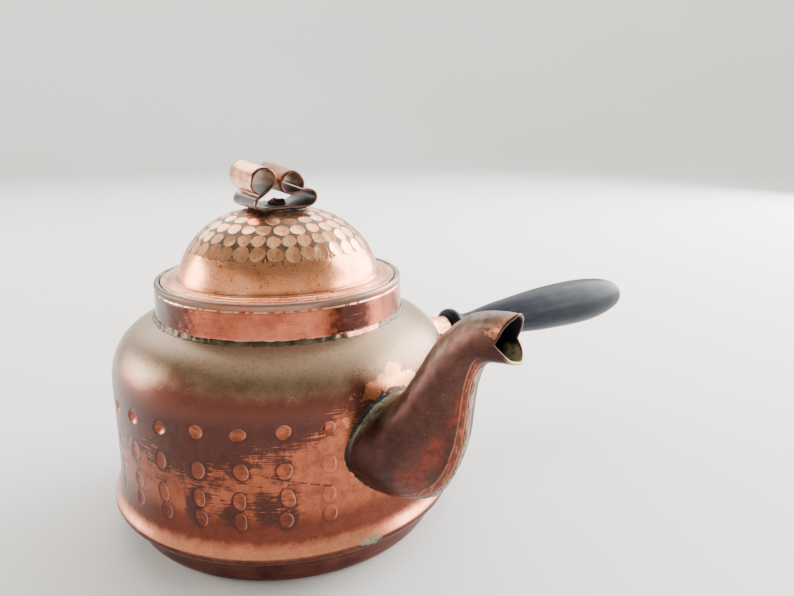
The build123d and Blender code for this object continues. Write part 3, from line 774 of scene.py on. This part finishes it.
def wood_finish():
    f = Finish("black_wood")
    along_grip = f.add("ShaderNodeMapping", {0: f.place, 2: (0, 0, -radians(HANDLE_TURN))})
    streaks, fine = [f.noise(size, 5, 0.65, (20, 1, 1), along_grip, 0.4) for size in (1 / 0.7, 1 / 2.4)]
    cloud, speck = f.noise(16, 4, 0.6), f.speck(0.6)
    colour = streaks.step(0.4, 0.65).mix((14, 20, 29), (23, 32, 44))
    colour = (fine.step(0.58, 0.7) * 0.5).mix(colour, (12, 14, 18))
    colour = (speck.step(0.64, 0.72) * 0.25).mix(colour, (86, 88, 90))
    rough = cloud.between(0.3, 0.5) + fine.sway(0.14)
    relief = streaks * 0.6 + fine * 0.5 + speck * 0.12
    f.shader.inputs["Specular IOR Level"].default_value = 0.11
    return f.finished(colour, 0.0, rough, relief, 0.07)


def iron_finish():
    f = Finish("iron_wire")
    cloud, grain = f.cloud(2), f.noise(0.5, 5, 0.7)
    colour = cloud.step(0.4, 0.62).mix((84, 78, 74), (96, 58, 40))
    return f.finished(colour, 0.8, 0.45 + grain.sway(0.3), grain, 0.06)


def studio_finish():
    f = Finish("studio_paper")
    cloud = f.noise(160, 3, 0.5)
    colour = cloud.mix((226, 224, 220), (232, 230, 227))
    return f.finished(colour, 0.0, 0.85)


# ---- wall: foot flare, hammered wall, shoulder, neck with its ledge, fold under the pan ----
def body_outline():
    """The wall's outline, and how many of its points come before the inside of the shoulder."""
    flare, fine_flare = (curve_through(FLARE, count, FLARE_START, UP) for count in (8, 22))
    shoulder, fine_shoulder = (curve_through(SHOULDER, count, UP, SHOULDER_END) for count in (14, 34))
    neck_inside, neck_foot = NECK_RADIUS - SHEET, SHOULDER[-1][1]
    points = [(FOLD_INNER, LIP_LOW, 0.3), (LIP_RADIUS - 0.1, LIP_LOW, 0.9)]
    points += [(LIP_RADIUS + 0.15, LIP_HIGH - 0.5, 0.8)] + fine_flare[1:-1].tolist()
    points += straight(FLARE[-1], SHOULDER[0], 50) + fine_shoulder[:-1].tolist()
    points += [(NECK_RADIUS, neck_foot, 0.5), (NECK_RADIUS, SEAT_HIGH, 0.6)]
    points += [(SEAT_INNER, SEAT_HIGH, 0.35), (SEAT_INNER, SEAT_HIGH - SHEET, 0.35)]
    points += [(neck_inside, SEAT_HIGH - SHEET, 0.5), (neck_inside, neck_foot, 0.6)]
    inside_start = len(outline(points))
    points += (shoulder + SHEET * sideways(shoulder))[::-1][1:-1].tolist()
    points += straight((WALL_RADIUS - SHEET, SHOULDER[0][1]), (WALL_RADIUS - SHEET, FLARE[-1][1]), 30)
    points += (flare + SHEET * sideways(flare))[::-1].tolist()
    points += [(LIP_RADIUS - SHEET, FOLD_HIGH, 0.2), (FOLD_INNER, FOLD_HIGH, 0.2)]
    return outline(points), inside_start


def build_body():
    """The hammered wall in one sheet with its foot flare, its shoulder and its neck."""
    section, inside_start = body_outline()
    radius, turn, height = section_grid(section, WALL_COLUMNS)
    press, edge, side = stamp(turn, height, WALL_RADIUS, wall_marks())
    # The rows run from the lip up the outside, over the neck's ledge and down the inside. The tin
    # begins at the ledge's inner edge, which comes 15 rows before the inside of the shoulder.
    row = np.indices(turn.shape)[0]
    on_wall = (height < MARKS_BELOW) & (radius > MARKS_BEYOND)
    outside = (row < inside_start) & on_wall
    tin = soft_step(row, inside_start - 16, inside_start - 14)
    press *= on_wall & (height > 16)
    rim = np.where(outside, 0.1 * bell(edge, MARK_RIM_AT, MARK_RIM_WIDTH), 0)
    sway = waves(turn, 0.12, 3) * soft_step(height, 20, 40) * (height < 80)
    lip = waves(turn, 0.1, 4, 5, 16) * soft_step(height, 18, 14)
    radius = radius - press + rim + sway + lip
    rubbed_side = 1 - np.clip(spots(turn, 0 * turn, BROWN_SIDES), 0, 1)
    grime = 0.3 + 0.7 * soft_step(height - 11 * rubbed_side, 32, 57) - 0.3 * soft_step(height, 27, 18)
    grime += 0.7 * soft_step(height - 7 * rubbed_side, 55.5, 62)
    grime += spots(turn, height, WALL_GRIME) - spots(turn, height, WALL_CLEAN)
    values = {
        "edge": np.where(outside, edge, MARK_REACH), "side": side, "tin": tin, "grime": grime,
        "bare": spots(turn, height, WALL_BARE), "verdigris": spots(turn, height, WALL_GREEN) * (1 - tin),
        "scratch": scratch_gap(turn, height),
    }
    place = round_points(turn, radius, height)
    punch_strainer(make_piece("wall_and_shoulder", place, "body_shell", body_finish(), values))


def scratch_gap(turn, height):
    """How far each point is above or below the nearest long scratch, in millimetres, 3 at most."""
    gap = np.full(turn.shape, 3.0)
    across = turned(turn, 0) * WALL_RADIUS
    for ends in SCRATCHES:
        first, last = [np.array([radians(degrees) * WALL_RADIUS, high]) for degrees, high in ends]
        way = last - first
        right, up = across - first[0], height - first[1]
        share = np.clip((right * way[0] + up * way[1]) / (way @ way), 0, 1)
        off = np.hypot(right - share * way[0], up - share * way[1])
        above = np.sign(up * way[0] - right * way[1])
        gap = np.where(off < np.abs(gap), off * above, gap)
    return gap


def punch_strainer(piece):
    """The ring of holes behind the spout that keeps the grounds in."""
    places = [(0, 0)]
    for ring in (1, 2):
        for i in range(6 * ring):
            a = 2 * pi * i / (6 * ring)
            places.append((ring * STRAINER_PITCH * cos(a), ring * STRAINER_PITCH * sin(a)))
    punches = bmesh.new()
    for across, up in places:
        middle = Vector((WALL_RADIUS, across, STRAINER_MIDDLE + up)) * MM
        bmesh.ops.create_cone(
            punches, cap_ends=True, segments=24, radius1=STRAINER_HOLE * MM, radius2=STRAINER_HOLE * MM,
            depth=12 * MM, matrix=Matrix.Translation(middle) @ Matrix.Rotation(pi / 2, 4, "Y"),
        )
    mesh = bpy.data.meshes.new("punches")
    punches.to_mesh(mesh)
    punches.free()
    tool = bpy.data.objects.new("punches", mesh)
    bpy.context.scene.collection.objects.link(tool)
    cut = piece.modifiers.new("holes", "BOOLEAN")
    cut.operation, cut.object, cut.solver = "DIFFERENCE", tool, "EXACT"
    bpy.context.view_layer.update()
    done = bpy.data.meshes.new_from_object(piece.evaluated_get(bpy.context.evaluated_depsgraph_get()))
    piece.modifiers.clear()
    piece.data = done
    bpy.data.objects.remove(tool)


def build_pan():
    """The foot: a shallow dish whose flange is gripped by the wall's folded seam."""
    top = FOLD_HIGH + SHEET
    points = [(0, 0), (40, 0), (FOOT_RADIUS, 0, 4.0), (THROAT_RADIUS, FOLD_HIGH, 0.5)]
    points += [(PAN_FLANGE, FOLD_HIGH, 0.2), (PAN_FLANGE, top, 0.2), (THROAT_RADIUS - SHEET, top, 0.6)]
    points += [(FOOT_RADIUS - SHEET, SHEET, 3.1), (40, SHEET), (0, SHEET)]
    section = outline(points, 7)
    radius, turn, height = section_grid(section, PAN_COLUMNS)
    middle = len(section) // 2
    sway = waves(turn, 0.16, 9) * soft_step(radius, 30, 58) * soft_step(height, 0.5, 6)
    tin = soft_step(np.indices(turn.shape)[0], middle + 2, middle + 5)
    values = {"tin": tin, "verdigris": spots(turn, height, FOOT_GREEN) * (1 - tin)}
    place = round_points(turn, radius + sway, height)
    make_piece("foot_pan", place, "bottom_pan", foot_finish(), values, "open")


def build_collar():
    """The neck band: a slight taper, a crease, and a rounded bead rolled over its top."""
    foot, top, inside = COLLAR_RADIUS, COLLAR_TOP_RADIUS, COLLAR_RADIUS - SHEET
    crease, bead = COLLAR_CREASE, 1.05
    points = [(foot, COLLAR_LOW, 0.4)] + straight((foot, COLLAR_LOW + 0.6), (top + 0.06, crease - 0.5), 16)
    points += [(top + 0.06, crease - 0.45), (top - 0.12, crease - 0.15), (top - 0.2, crease)]
    points += [(top - 0.1, crease + 0.15)]
    for degrees in range(-22, 219, 20):
        a = radians(degrees)
        points.append((top - 0.95 + bead * cos(a), COLLAR_HIGH - bead + bead * sin(a)))
    points += [(inside - 0.35, crease, 0.3), (inside, COLLAR_LOW, 0.3)]
    radius, turn, height = section_grid(outline(points), COLLAR_COLUMNS)
    outer = soft_step(radius, 44.6, 45.0)
    sway = waves(turn, 0.07, 12, 3, 9) + waves(turn, 0.03, 13, 12, 30)
    # The band's ends lap on the side by the spout.
    past_joint = turned(turn, COLLAR_JOINT) * (foot + top) / 2
    step = 0.16 * soft_step(past_joint, -0.35, 0.1) * soft_step(past_joint, 26, 3) * outer
    dents = 0.05 * lumps(round_points(turn, radius, height), 7, 14) * outer
    radius = radius + sway * outer + step * (height < crease) + dents
    height = height + waves(turn, 0.07, 15, 4, 14) * soft_step(height, 89, 92)
    height = height + waves(turn, 0.09, 16, 5, 18) * soft_step(height, 82, 81)
    values = {"shade": np.clip(spots(turn, 0 * turn, COLLAR_PAINTED_SHADE), 0, 1), "tin": 1 - outer}
    make_piece("neck_band", round_points(turn, radius, height), "neck_collar", collar_finish(), values)


def build_collar_solder():
    """A thin, tarnished fillet between the neck band and the shoulder."""
    points = [(45.4, 80.3), (46.0, 80.9), (46.15, 81.1, 0.1), (46.4, 80.6), (46.8, 80.0, 0.15)]
    points += [(47.0, 79.4), (46.0, 79.6), (45.4, 79.9)]
    radius, turn, height = section_grid(outline(points), COLLAR_COLUMNS)
    place = round_points(turn, radius, height)
    swell = 0.12 * lumps(place, 2.2, 95) + 0.06 * lumps(place, 1.0, 96)
    radius = radius + swell * (radius > 45.9)
    height = height + 0.7 * swell * (height > 80)
    place = round_points(turn, radius, height)
    values = {"crust": spots(turn, height, COLLAR_SOLDER_CLEAN)}
    make_piece("neck_band_solder", place, "collar_solder", tarnished_finish(), values)


# ---- lid ----
def dome_line(inset, count):
    """The dome's outline, from its middle down to its foot."""
    start, end = np.arccos((np.array([RIVET_HOLE, DOME_FOOT]) / DOME_RADIUS) ** (DOME_POWER / 2))
    lean = np.linspace(start, end, 400)
    out = (DOME_RADIUS - inset) * np.cos(lean) ** (2 / DOME_POWER)
    up = DOME_CENTRE + (DOME_RISE - inset) * np.sin(lean) ** (2 / DOME_POWER)
    run = distances(np.stack([out, up], 1))
    at = np.linspace(0, run[-1], count)
    return np.stack([np.interp(at, run, out), np.interp(at, run, up)], 1)


def build_lid():
    """The lid: a hammered dome with a hollow and a small step round its foot, and a flat rim."""
    over, under = dome_line(0, 100), dome_line(SHEET, 26)
    step, rim_under = BRIM_HIGH + 0.95, BRIM_HIGH - SHEET
    points = over[:-1].tolist() + [(37.62, 93.9), (37.95, 93.45), (38.4, 93.35), (38.8, step - 0.1)]
    points += [(39.2, step), (39.6, step - 0.06), (40.1, step - 0.4), (40.6, BRIM_HIGH + 0.2)]
    points += [(41.1, BRIM_HIGH), (42.1, BRIM_HIGH + 0.12), (BRIM_RADIUS, BRIM_HIGH + 0.35, 0.35)]
    points += [(BRIM_RADIUS - 0.1, rim_under, 0.2), (40, rim_under, 0.3), (39.4, step - SHEET, 0.3)]
    # The rows over the dome and round the rim, up to its plain underside.
    outer_rows = len(outline(points, 3)) - 6
    section = outline(points + under[::-1].tolist(), 3)
    radius, turn, height = section_grid(section, LID_COLUMNS)
    # How far down the dome each row is. Rows past the dome get a distance that no mark reaches.
    run, past_dome = distances(over) + RIVET_HOLE, 99.0
    along = np.full(len(section), past_dome)
    along[: len(over) - 1] = run[:-1]
    along = np.repeat(along[:, None], LID_COLUMNS, 1)

    def along_at(level):
        return float(np.interp(-level, -over[:, 1], run))

    press, edge, side = stamp(turn, along, radius, dome_marks(along_at))
    way = unit(np.gradient(section, axis=0))
    row = np.indices(turn.shape)[0]
    raised = 0.05 * bell(edge, MARK_RIM_AT, MARK_RIM_WIDTH) * (along < past_dome)
    sway = 0.06 * lumps(round_points(turn, radius, height), 9, 21)
    lift = raised - press + sway * soft_step(row, 4, 14) * (row < outer_rows - 6)
    radius, height = radius - way[:, 1:] * lift, height + way[:, :1] * lift
    brim = soft_step(radius, 41.3, 43.3) * (height > BRIM_HIGH - 2) * (row < outer_rows + 6)
    radius = radius + (waves(turn, 0.07, 22, 6, 26) - 0.05) * brim
    rim = soft_step(radius, 42.1, 43.0) * (row < outer_rows + 5) * (height > 91)
    values = {"edge": edge, "side": side, "tin": soft_step(row, outer_rows + 3, outer_rows + 5), "rim": rim}
    make_piece("lid_dome_and_rim", round_points(turn, radius, height), "lid_dome", lid_finish(), values)


# ---- knob ----
def knob_place(along, wide, up):
    """A point given along the strip, across it and above its underside."""
    a = radians(RIBBON_TURN)
    return np.stack([along * cos(a) - wide * sin(a), along * sin(a) + wide * cos(a), RIBBON_LOW + up], -1)


def build_knob():
    """One strip, bent into two open scrolls that lean up towards the back."""
    left = curve_through(LEFT_SCROLL[::-1], 130)
    right = curve_through(RIGHT_SCROLL, 140)
    flat = np.array(straight(LEFT_SCROLL[0], RIGHT_SCROLL[0], 18))
    line = np.concatenate([left[:-1], flat, right])
    side = sideways(line)
    half, thick, corner = RIBBON_WIDTH / 2, RIBBON_THICK / 2, 0.3
    # The strip's cross section: its upper side and its edge, then the same turned half round.
    ring = [(x, thick) for x in np.linspace(-half + corner, half - corner, 14)]
    for a in np.radians(np.linspace(75, -75, 5)):
        ring.append((half - corner + corner * cos(a), (thick - 0.02) * sin(a)))
    ring = np.array(ring + [(-x, -y) for x, y in ring])
    rows = len(line)
    share = np.linspace(0, 1, rows)[:, None]
    wide, off = np.repeat(ring[None], rows, 0).transpose(2, 0, 1)
    on_left = np.arange(rows)[:, None] < len(left) + 8 + 0 * wide
    wide = wide * (1 + 0.012 * np.sin(share * 19) + 0.01 * np.sin(share * 43 + 1))
    along = line[:, :1] + side[:, :1] * off
    up = line[:, 1:] + side[:, 1:] * off
    rise = soft_step(up, 2.5, 9.5)
    up = up + rise * np.where(on_left, 0.88 * (wide / half + 1), 0.6 + 1.1 * wide / half)
    along = along + 0.35 * rise * wide / half * np.where(on_left, 0.6, -0.4)
    dents = 0.07 * lumps(np.stack([along, wide, up], -1), 5, 31)
    up, along = up + dents * rise, along + dents * rise
    cut = soft_step(np.abs(wide), half - 0.55, half - 0.2)
    cut = np.maximum(cut, soft_step(np.minimum(share, 1 - share), 0.009, 0.003))
    # The strip runs from the left scroll's free end, so its left-hand side is inside both scrolls' curl.
    curl = np.gradient(np.unwrap(np.arctan2(side[:, 1], side[:, 0])))[:, None]
    inner = soft_step(off * np.sign(curl + 1e-6), 0.05, 0.25)
    inner = np.where((np.abs(curl) < 1e-3) & (off > 0), 1.0, inner)
    # Inside the rolls the copper is painted near black low down, a painted shade, and paler towards the top
    # and the far side.
    roll = soft_step(up, 6.5, 10.5) * 0.9 + 0.25 * soft_step(wide, -half, half)
    # The low part of the left scroll's fold, painted darker as painted shade.
    fold = soft_step(up, 6.2, 4.0) * on_left
    values = {"cut": cut, "inner": inner, "side": 1.0 - on_left, "fold": fold, "curl": roll}
    make_piece("knob_scrolls", knob_place(along, wide, up), "knob_ribbon", knob_finish(), values, "capped")


def build_knob_solder():
    """Solder squeezed out between the strip and the top of the dome, in an uneven bed."""
    turn = np.linspace(0, 2 * pi, BED_COLUMNS, endpoint=False)
    half_along, half_wide = 8.3, 10.5
    reach = 1 / (np.abs(np.cos(turn) / half_along) ** 5 + np.abs(np.sin(turn) / half_wide) ** 5) ** 0.2
    reach = reach + waves(turn, 0.35, 41, 5, 15)
    shares = [0.2, 0.6, 0.9, 0.97, 1.02, 1.05, 1.04, 1.0, 0.95, 0.6, 0.2]
    levels = [1, 1, 1, 0.97, 0.8, 0.5, 0.2, 0.04, -0.05, -0.05, -0.05]
    rows = []
    for share, level in zip(shares, levels):
        along, wide = share * reach * np.cos(turn), share * reach * np.sin(turn)
        away = np.hypot(along, wide) / DOME_RADIUS
        floor = DOME_CENTRE + DOME_RISE * (1 - away**DOME_POWER) ** (1 / DOME_POWER) - RIBBON_LOW
        rows.append(knob_place(along, wide, floor + (-0.01 - floor) * level))
    points = np.array(rows)
    points[3:8] += (0.12 * lumps(points, 1.6, 42)[..., None] * np.array([0.5, 0.5, 1.0]))[3:8]
    # Pale round most of the bed and dark on the side under the left scroll: partly a crust, partly painted
    # light and shade.
    values = {"crust": np.repeat((0.55 + 0.4 * np.cos(turn + 0.6))[None], len(rows), 0)}
    make_piece("knob_solder_bed", points, "knob_solder", solder_finish(), values)


def build_rivet():
    """The rivet: a hammered head on the strip, a plain shank, and a flattened tail under the washer."""
    tail = -3.3
    points = [(0, 2.75), (1.0, 2.72), (1.9, 2.45), (2.7, 1.95), (3.2, 1.4), (3.3, 1.0), (3.1, 0.8)]
    points += [(1.6, 0.8), (1.6, -2.2), (2.6, -2.2, 0.3), (2.6, tail, 0.6), (0, tail)]
    radius, turn, height = section_grid(outline(points), RIVET_COLUMNS)
    place = round_points(turn, radius, height + RIBBON_LOW)
    bulge = 0.3 * lumps(place, 1.5, 51) * soft_step(height, 0.8, 1.6)
    place = round_points(turn, radius * (1 + 0.35 * bulge), height + RIBBON_LOW + 0.7 * bulge)
    values = {"tone": soft_step(height, 2.1, 2.7)}
    make_piece("knob_rivet_head", place, "knob_rivet", dark_finish(), values, "open")


# ---- spout ----
def wall_radius_at(height):
    """The wall's plain radius, without marks or waves, at these heights."""
    flare, shoulder = curve_through(FLARE, 12, FLARE_START, UP), curve_through(SHOULDER, 40, UP, SHOULDER_END)
    line = np.concatenate([flare, shoulder])
    return np.interp(height, line[:, 1], line[:, 0])


def spout_surface():
    """Points of the spout's skin: one row for each station along it, one column for each bearing
    round it. Bearing 0 is its back and half a turn is the front seam."""
    back, front = curve_through(SPOUT_BACK, SPOUT_STATIONS), curve_through(SPOUT_FRONT, SPOUT_STATIONS)
    share = np.linspace(0, 1, SPOUT_STATIONS)
    half = np.interp(share, np.linspace(0, 1, len(SPOUT_HALF)), SPOUT_HALF)
    half = np.convolve(np.pad(half, 6, mode="edge"), np.ones(13) / 13, "valid")[:, None]
    middle, reach = (back + front) / 2, (front - back) / 2
    bearing = np.linspace(0, 2 * pi, SPOUT_COLUMNS, endpoint=False)[None]
    ahead, aside = -np.cos(bearing), np.sin(bearing)
    # Ellipse behind; a blunt V in front, which fades out into the beak.
    power = 2 - 0.56 * soft_step(ahead, -0.05, 0.35) * soft_step(share[:, None], 1.0, 0.72)
    scale = (np.abs(ahead) ** power + np.abs(aside) ** power) ** (-1 / power)
    x = middle[:, :1] + reach[:, :1] * ahead * scale
    z = middle[:, 1:] + reach[:, 1:] * ahead * scale
    return np.stack([x, aside * scale * half, z], -1)


def trimmed(surface, rows):
    """The same skin, cut where it meets the wall and where the mouth opens, in evenly shared rows."""
    x, z = surface[..., 0], surface[..., 2]
    outside = np.hypot(x, surface[..., 1]) - wall_radius_at(z) - 0.02
    top, bottom, notch = SPOUT_BACK[-1], SPOUT_FRONT[-1], BEAK_NOTCH
    upper = notch[0] + (z - notch[1]) * (top[0] - notch[0]) / (top[1] - notch[1])
    lower = notch[0] + (z - notch[1]) * (bottom[0] - notch[0]) / (bottom[1] - notch[1])
    beyond = x - np.where(z > notch[1], upper, lower)
    made = np.zeros((rows, surface.shape[1], 3))
    index = np.arange(surface.shape[0])

    def crossing(values, if_never):
        first = np.argmax(values > 0)
        return first - values[first] / (values[first] - values[first - 1]) if first else if_never

    for c in range(surface.shape[1]):
        at = np.linspace(crossing(outside[:, c], 0.0), crossing(beyond[:, c], index[-1]), rows)
        for axis in range(3):
            made[:, c, axis] = np.interp(at, index, surface[:, c, axis])
    return made


def skin_normals(skin):
    """Outward directions over a skin of rows and closed columns."""
    around = np.roll(skin, -1, 1) - np.roll(skin, 1, 1)
    normal = unit(np.cross(np.gradient(skin, axis=0), around))
    outwards = skin - skin.mean(axis=1, keepdims=True)
    return normal * np.sign((normal * outwards).sum(-1, keepdims=True).mean(1, keepdims=True))


def build_spout():
    """The swan neck: one folded sheet, lapped along the front, with a beak that is open in front."""
    outer = trimmed(spout_surface(), SPOUT_ROWS)
    normal = skin_normals(outer)
    row, column = np.indices(outer.shape[:2])
    bearing, share = column * 2 * pi / SPOUT_COLUMNS, row / (SPOUT_ROWS - 1)
    off_seam = np.abs(bearing - pi)
    girth = np.linalg.norm(outer - np.roll(outer, 1, 1), axis=-1).sum(1, keepdims=True)
    wall_gap = np.hypot(outer[..., 0], outer[..., 1]) - wall_radius_at(outer[..., 2])
    # The sheet laps over itself along the front; the lap's edge is on the near side and swings
    # further round under the bulb.
    lap = (bearing - pi) / (2 * pi) * girth - (1.9 + 3.6 * soft_step(share, 0.36, 0.1))
    fades = soft_step(share, 0.93, 0.8)
    strip = soft_step(lap, 0.2, 0.6) * soft_step(lap, 4.0, 3.1) * fades
    lines = np.maximum(bell(lap, 0, 0.32), 0.45 * bell(lap, 3.4, 0.3)) * fades
    groove = np.maximum(lines, bell(wall_gap, 2.2, 0.32) + 0.6 * bell(wall_gap, 3.4, 0.3))
    lift = 0.3 * soft_step(lap, 0.0, 0.35) * soft_step(lap, 6.5, 1.0) * fades
    lift = lift - 0.22 * groove + 0.09 * lumps(outer, 9, 61) + 0.03 * lumps(outer, 3, 62)
    lip_wave = 0.12 * lumps(outer, 2.5, 63) * soft_step(share, 0.97, 1.0)
    outer = outer + normal * (lift + lip_wave)[..., None]
    inner = outer - normal * SHEET
    # The metal's edge round the mouth is rounded over.
    forward = unit(outer[-1] - outer[-4])
    middle = (outer[-1] + inner[-1]) / 2
    ways = [normal[-1] * cos(a) + forward * sin(a) * 0.8 for a in np.radians([45, 90, 135])]
    points = np.concatenate([outer, middle + SHEET / 2 * np.array(ways), inner[::-1]])

    high = 0.75 * soft_step(share, 0.02, 0.2) + 0.25 * soft_step(share, 0.5, 0.7)
    red = 0.95 * bell(share, 0.38, 0.13) * bell(off_seam, 0.95, 0.35)
    red += 0.6 * bell(share, 0.22, 0.1) * bell(off_seam, 0.7, 0.4)
    red += 0.85 * bell(share, 0.66, 0.09) * bell(off_seam, 0.62, 0.35)
    off_crust = turned(bearing + 0.45, 0)
    crust_reach = 2.6 + 4.4 * bell(off_crust, 0, 0.5)
    on_skin = {
        "ridge": strip, "top": soft_step(np.cos(bearing), 0.2, 0.95) * high, "red": red,
        # facet: where the painted reflection lies on the far facet beside the lap.
        "facet": bell(lap, -1.9, 1.6, 4) * soft_step(share, 0.16, 0.3) * soft_step(share, 0.9, 0.78),
        "glint": (bell(lap, 0.75, 0.32) + 0.8 * bell(lap, 4.1, 0.3)) * fades,
        "crust": bell(off_crust, 0, 0.75) * bell(wall_gap, 0, crust_reach),
        "lip": soft_step(share, 0.87, 1.0) * soft_step(np.cos(bearing), -0.05, 0.25),
        "groove": np.clip(groove, 0, 1),
    }

    def over_all(outside, edge, inside):
        return np.concatenate([outside, np.full((3, SPOUT_COLUMNS), edge), inside])

    values = {name: over_all(numbers, 0.0, 0 * share) for name, numbers in on_skin.items()}
    rim, low_inside = soft_step(share, 0.992, 1.0), soft_step(-np.cos(bearing), 0.2, 0.8)
    values["tin"] = over_all(0 * share, 0.0, 0 * share + 1)
    values["from_wall"] = over_all(np.clip(wall_gap, 0, 12), 12.0, 0 * share + 12)
    values["rim"] = over_all(rim, 1.0, rim[::-1])
    # floor: the tin on the floor by the mouth; the rest of the inside is painted shade.
    values["floor"] = over_all(0 * share, 0.0, (low_inside * soft_step(share, 0.9, 0.96))[::-1])
    values["lower"] = np.repeat(soft_step(-np.cos(bearing[:1]), 0.55, 0.95), len(points), 0)
    make_piece("swan_neck_spout", points, "spout", spout_finish(), values)


def build_spout_solder():
    """A lumpy run of solder between the spout's base and the wall, thickest over the top."""
    skin = trimmed(spout_surface(), 60)
    foot, climb_way = skin[0], unit(skin[4] - skin[0])
    wall_normal = unit(foot * np.array([1, 1, 0.0]))
    spread_way = unit(np.cross(np.roll(foot, -1, 0) - np.roll(foot, 1, 0), wall_normal))
    spread_way *= np.sign((spread_way * (foot - foot.mean(0))).sum(-1, keepdims=True))
    bearing = np.linspace(0, 2 * pi, SPOUT_COLUMNS, endpoint=False)
    top, near = np.clip(np.cos(bearing), 0, 1) ** 1.5, bell(bearing, 5.7, 0.5)
    spread = (0.5 + 0.2 * top + 0.1 * near + waves(bearing, 0.04, 71, 4, 18))[:, None]
    climb = (0.85 + 0.35 * top + 0.25 * near + waves(bearing, 0.1, 72, 4, 18))[:, None]
    rows = []
    for a in np.linspace(0, pi / 2, 12):
        out, rise = 1 - sin(a) * 0.98, 1 - cos(a) * 0.98
        rows.append(foot + spread_way * spread * out + climb_way * climb * rise + wall_normal * 0.05)
    for rise in (0.5, 0.0):
        rows.append(foot + climb_way * climb * rise - wall_normal * 0.3 - spread_way * 0.25)
    rows.append(foot + spread_way * spread * 0.5 - wall_normal * 0.5)
    points = np.array(rows)
    swell = 0.1 * lumps(points, 1.8, 73) + 0.05 * lumps(points, 0.9, 74)
    points[1:11] += swell[1:11, :, None] * (wall_normal + spread_way)
    # Pale on top: partly a crust, partly a painted highlight.
    values = {"crust": np.repeat(np.clip(top - 0.3 * near, 0, 1)[None], len(rows), 0)}
    make_piece("spout_base_solder", points, "spout_solder", solder_finish(), values)


# ---- handle ----
def handle_points(distance, radius, turn):
    """Points round the handle's axis, at a distance from the kettle's axis."""
    a = radians(HANDLE_TURN)
    aside, up = radius * np.cos(turn), HANDLE_HEIGHT + radius * np.sin(turn)
    return np.stack([distance * cos(a) - aside * sin(a), distance * sin(a) + aside * cos(a), up], -1)


def build_socket():
    """The copper socket: it flares a little where it is soldered to the wall."""
    line = curve_through(SOCKET, 30)
    inner = line[::-1] * np.array([1.0, 0]) + np.array([0, SOCKET[-1][1] - SHEET])
    section = np.concatenate([line[:-1], [(line[-1, 0] + 0.1, line[-1, 1] - 0.25)], inner])
    distance, turn, radius = section_grid(section, SOCKET_COLUMNS)
    shade = soft_step(distance, 67.5, 65.5) * (radius > 6) + 0.6 * soft_step(distance, 79.2, 80.5)
    radius = radius + 0.06 * lumps(handle_points(distance, radius, turn), 4, 81) * (radius > 5.8)
    place = handle_points(distance, radius, turn)
    make_piece("handle_socket_tube", place, "handle_socket", socket_finish(), {"shade": shade})


def build_grip():
    """The turned wooden grip: a bead at the socket, a waist, and a long bulb; its tenon is in the socket."""
    line = curve_through(GRIP, 150)
    line[-1, 1] = 0
    line[:, 1] = np.maximum(line[:, 1], 0)
    shoulder = GRIP[0][0] - 0.4
    tenon = [(TENON_START, 0), (TENON_START, TENON_RADIUS, 0.5), (shoulder, TENON_RADIUS, 0.2)]
    section = np.concatenate([outline(tenon + [(shoulder, 6.6, 0.2)])[:-1], line])
    distance, turn, radius = section_grid(section, GRIP_COLUMNS)
    place = handle_points(distance, radius, turn)
    radius = radius * (1 + 0.006 * lumps(place, 20, 91)) + 0.03 * lumps(place, 6, 92) * (radius > 3)
    place = handle_points(distance, radius, turn)
    make_piece("wooden_grip", place, "handle_grip", wood_finish(), ends="open")


def dress_cad_nodes():
    """CAD nodes that stay as they are get a finish of their own."""
    finishes = {
        "collar_wire": iron_finish(), "handle_pin": iron_finish(), "handle_solder": solder_finish(),
        "lid_flange": plain_copper_finish(), "knob_washer": plain_copper_finish(),
    }
    for node_name, material in finishes.items():
        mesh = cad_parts[node_name].data
        mesh.materials.clear()
        mesh.materials.append(material)


# ---- studio ----
def build_studio():
    """A pale floor that curves up into a wall all round, so that every side has the same backdrop."""
    floor_radius, wall_radius, wall_high = 1700.0, 2300.0, 1500.0
    reach = wall_radius - floor_radius
    points = [(0.0, 0.0), (floor_radius / 2, 0.0), (floor_radius, 0.0)]
    points += [(floor_radius + reach * sin(a), reach * (1 - cos(a))) for a in np.linspace(0, pi / 2, 9)[1:]]
    section = np.array(points + [(wall_radius, wall_high)])
    radius, turn, height = section_grid(section, STUDIO_COLUMNS)
    make_mesh("studio_floor", round_points(turn, radius, height), "open", studio_finish())


def put(name, data, place, way):
    """A lamp or camera at a place, facing along a direction."""
    thing = bpy.data.objects.new(name, data)
    bpy.context.scene.collection.objects.link(thing)
    thing.location = place
    thing.rotation_euler = way.to_track_quat("-Z", "Y").to_euler()
    return thing


def light_and_camera():
    scene = bpy.context.scene
    heading, pitch = radians(CAMERA_HEADING), radians(CAMERA_PITCH)
    right, away = Vector((sin(heading), -cos(heading), 0)), Vector((cos(heading), sin(heading), 0))
    up = Vector((0, 0, 1))
    camera_data = bpy.data.cameras.new("camera")
    camera_data.lens, camera_data.sensor_width, camera_data.clip_start = 31.0, 36.0, 0.01
    scene.camera = put("camera", camera_data, CAMERA_PLACE, away * cos(pitch) + up * sin(pitch))

    def in_view(beside, beyond, high):
        return right * beside + away * beyond + up * high

    for name, place, aim, size, power, colour in LIGHTS:
        data = bpy.data.lights.new(name, "AREA")
        data.shape, data.size, data.size_y = "RECTANGLE", *size
        data.energy, data.color = power, colour
        lamp = put(name, data, in_view(*place), in_view(*aim) - in_view(*place))
        lamp.visible_camera = False
    scene.world = bpy.data.worlds.new("studio")
    scene.world.use_nodes = True
    background = scene.world.node_tree.nodes["Background"].inputs
    background["Color"].default_value = screen(226, 224, 220)
    background["Strength"].default_value = 0.45


build_body()
build_pan()
build_collar()
build_collar_solder()
build_lid()
build_knob()
build_knob_solder()
build_rivet()
build_spout()
build_spout_solder()
build_socket()
build_grip()
dress_cad_nodes()
build_studio()
light_and_camera()
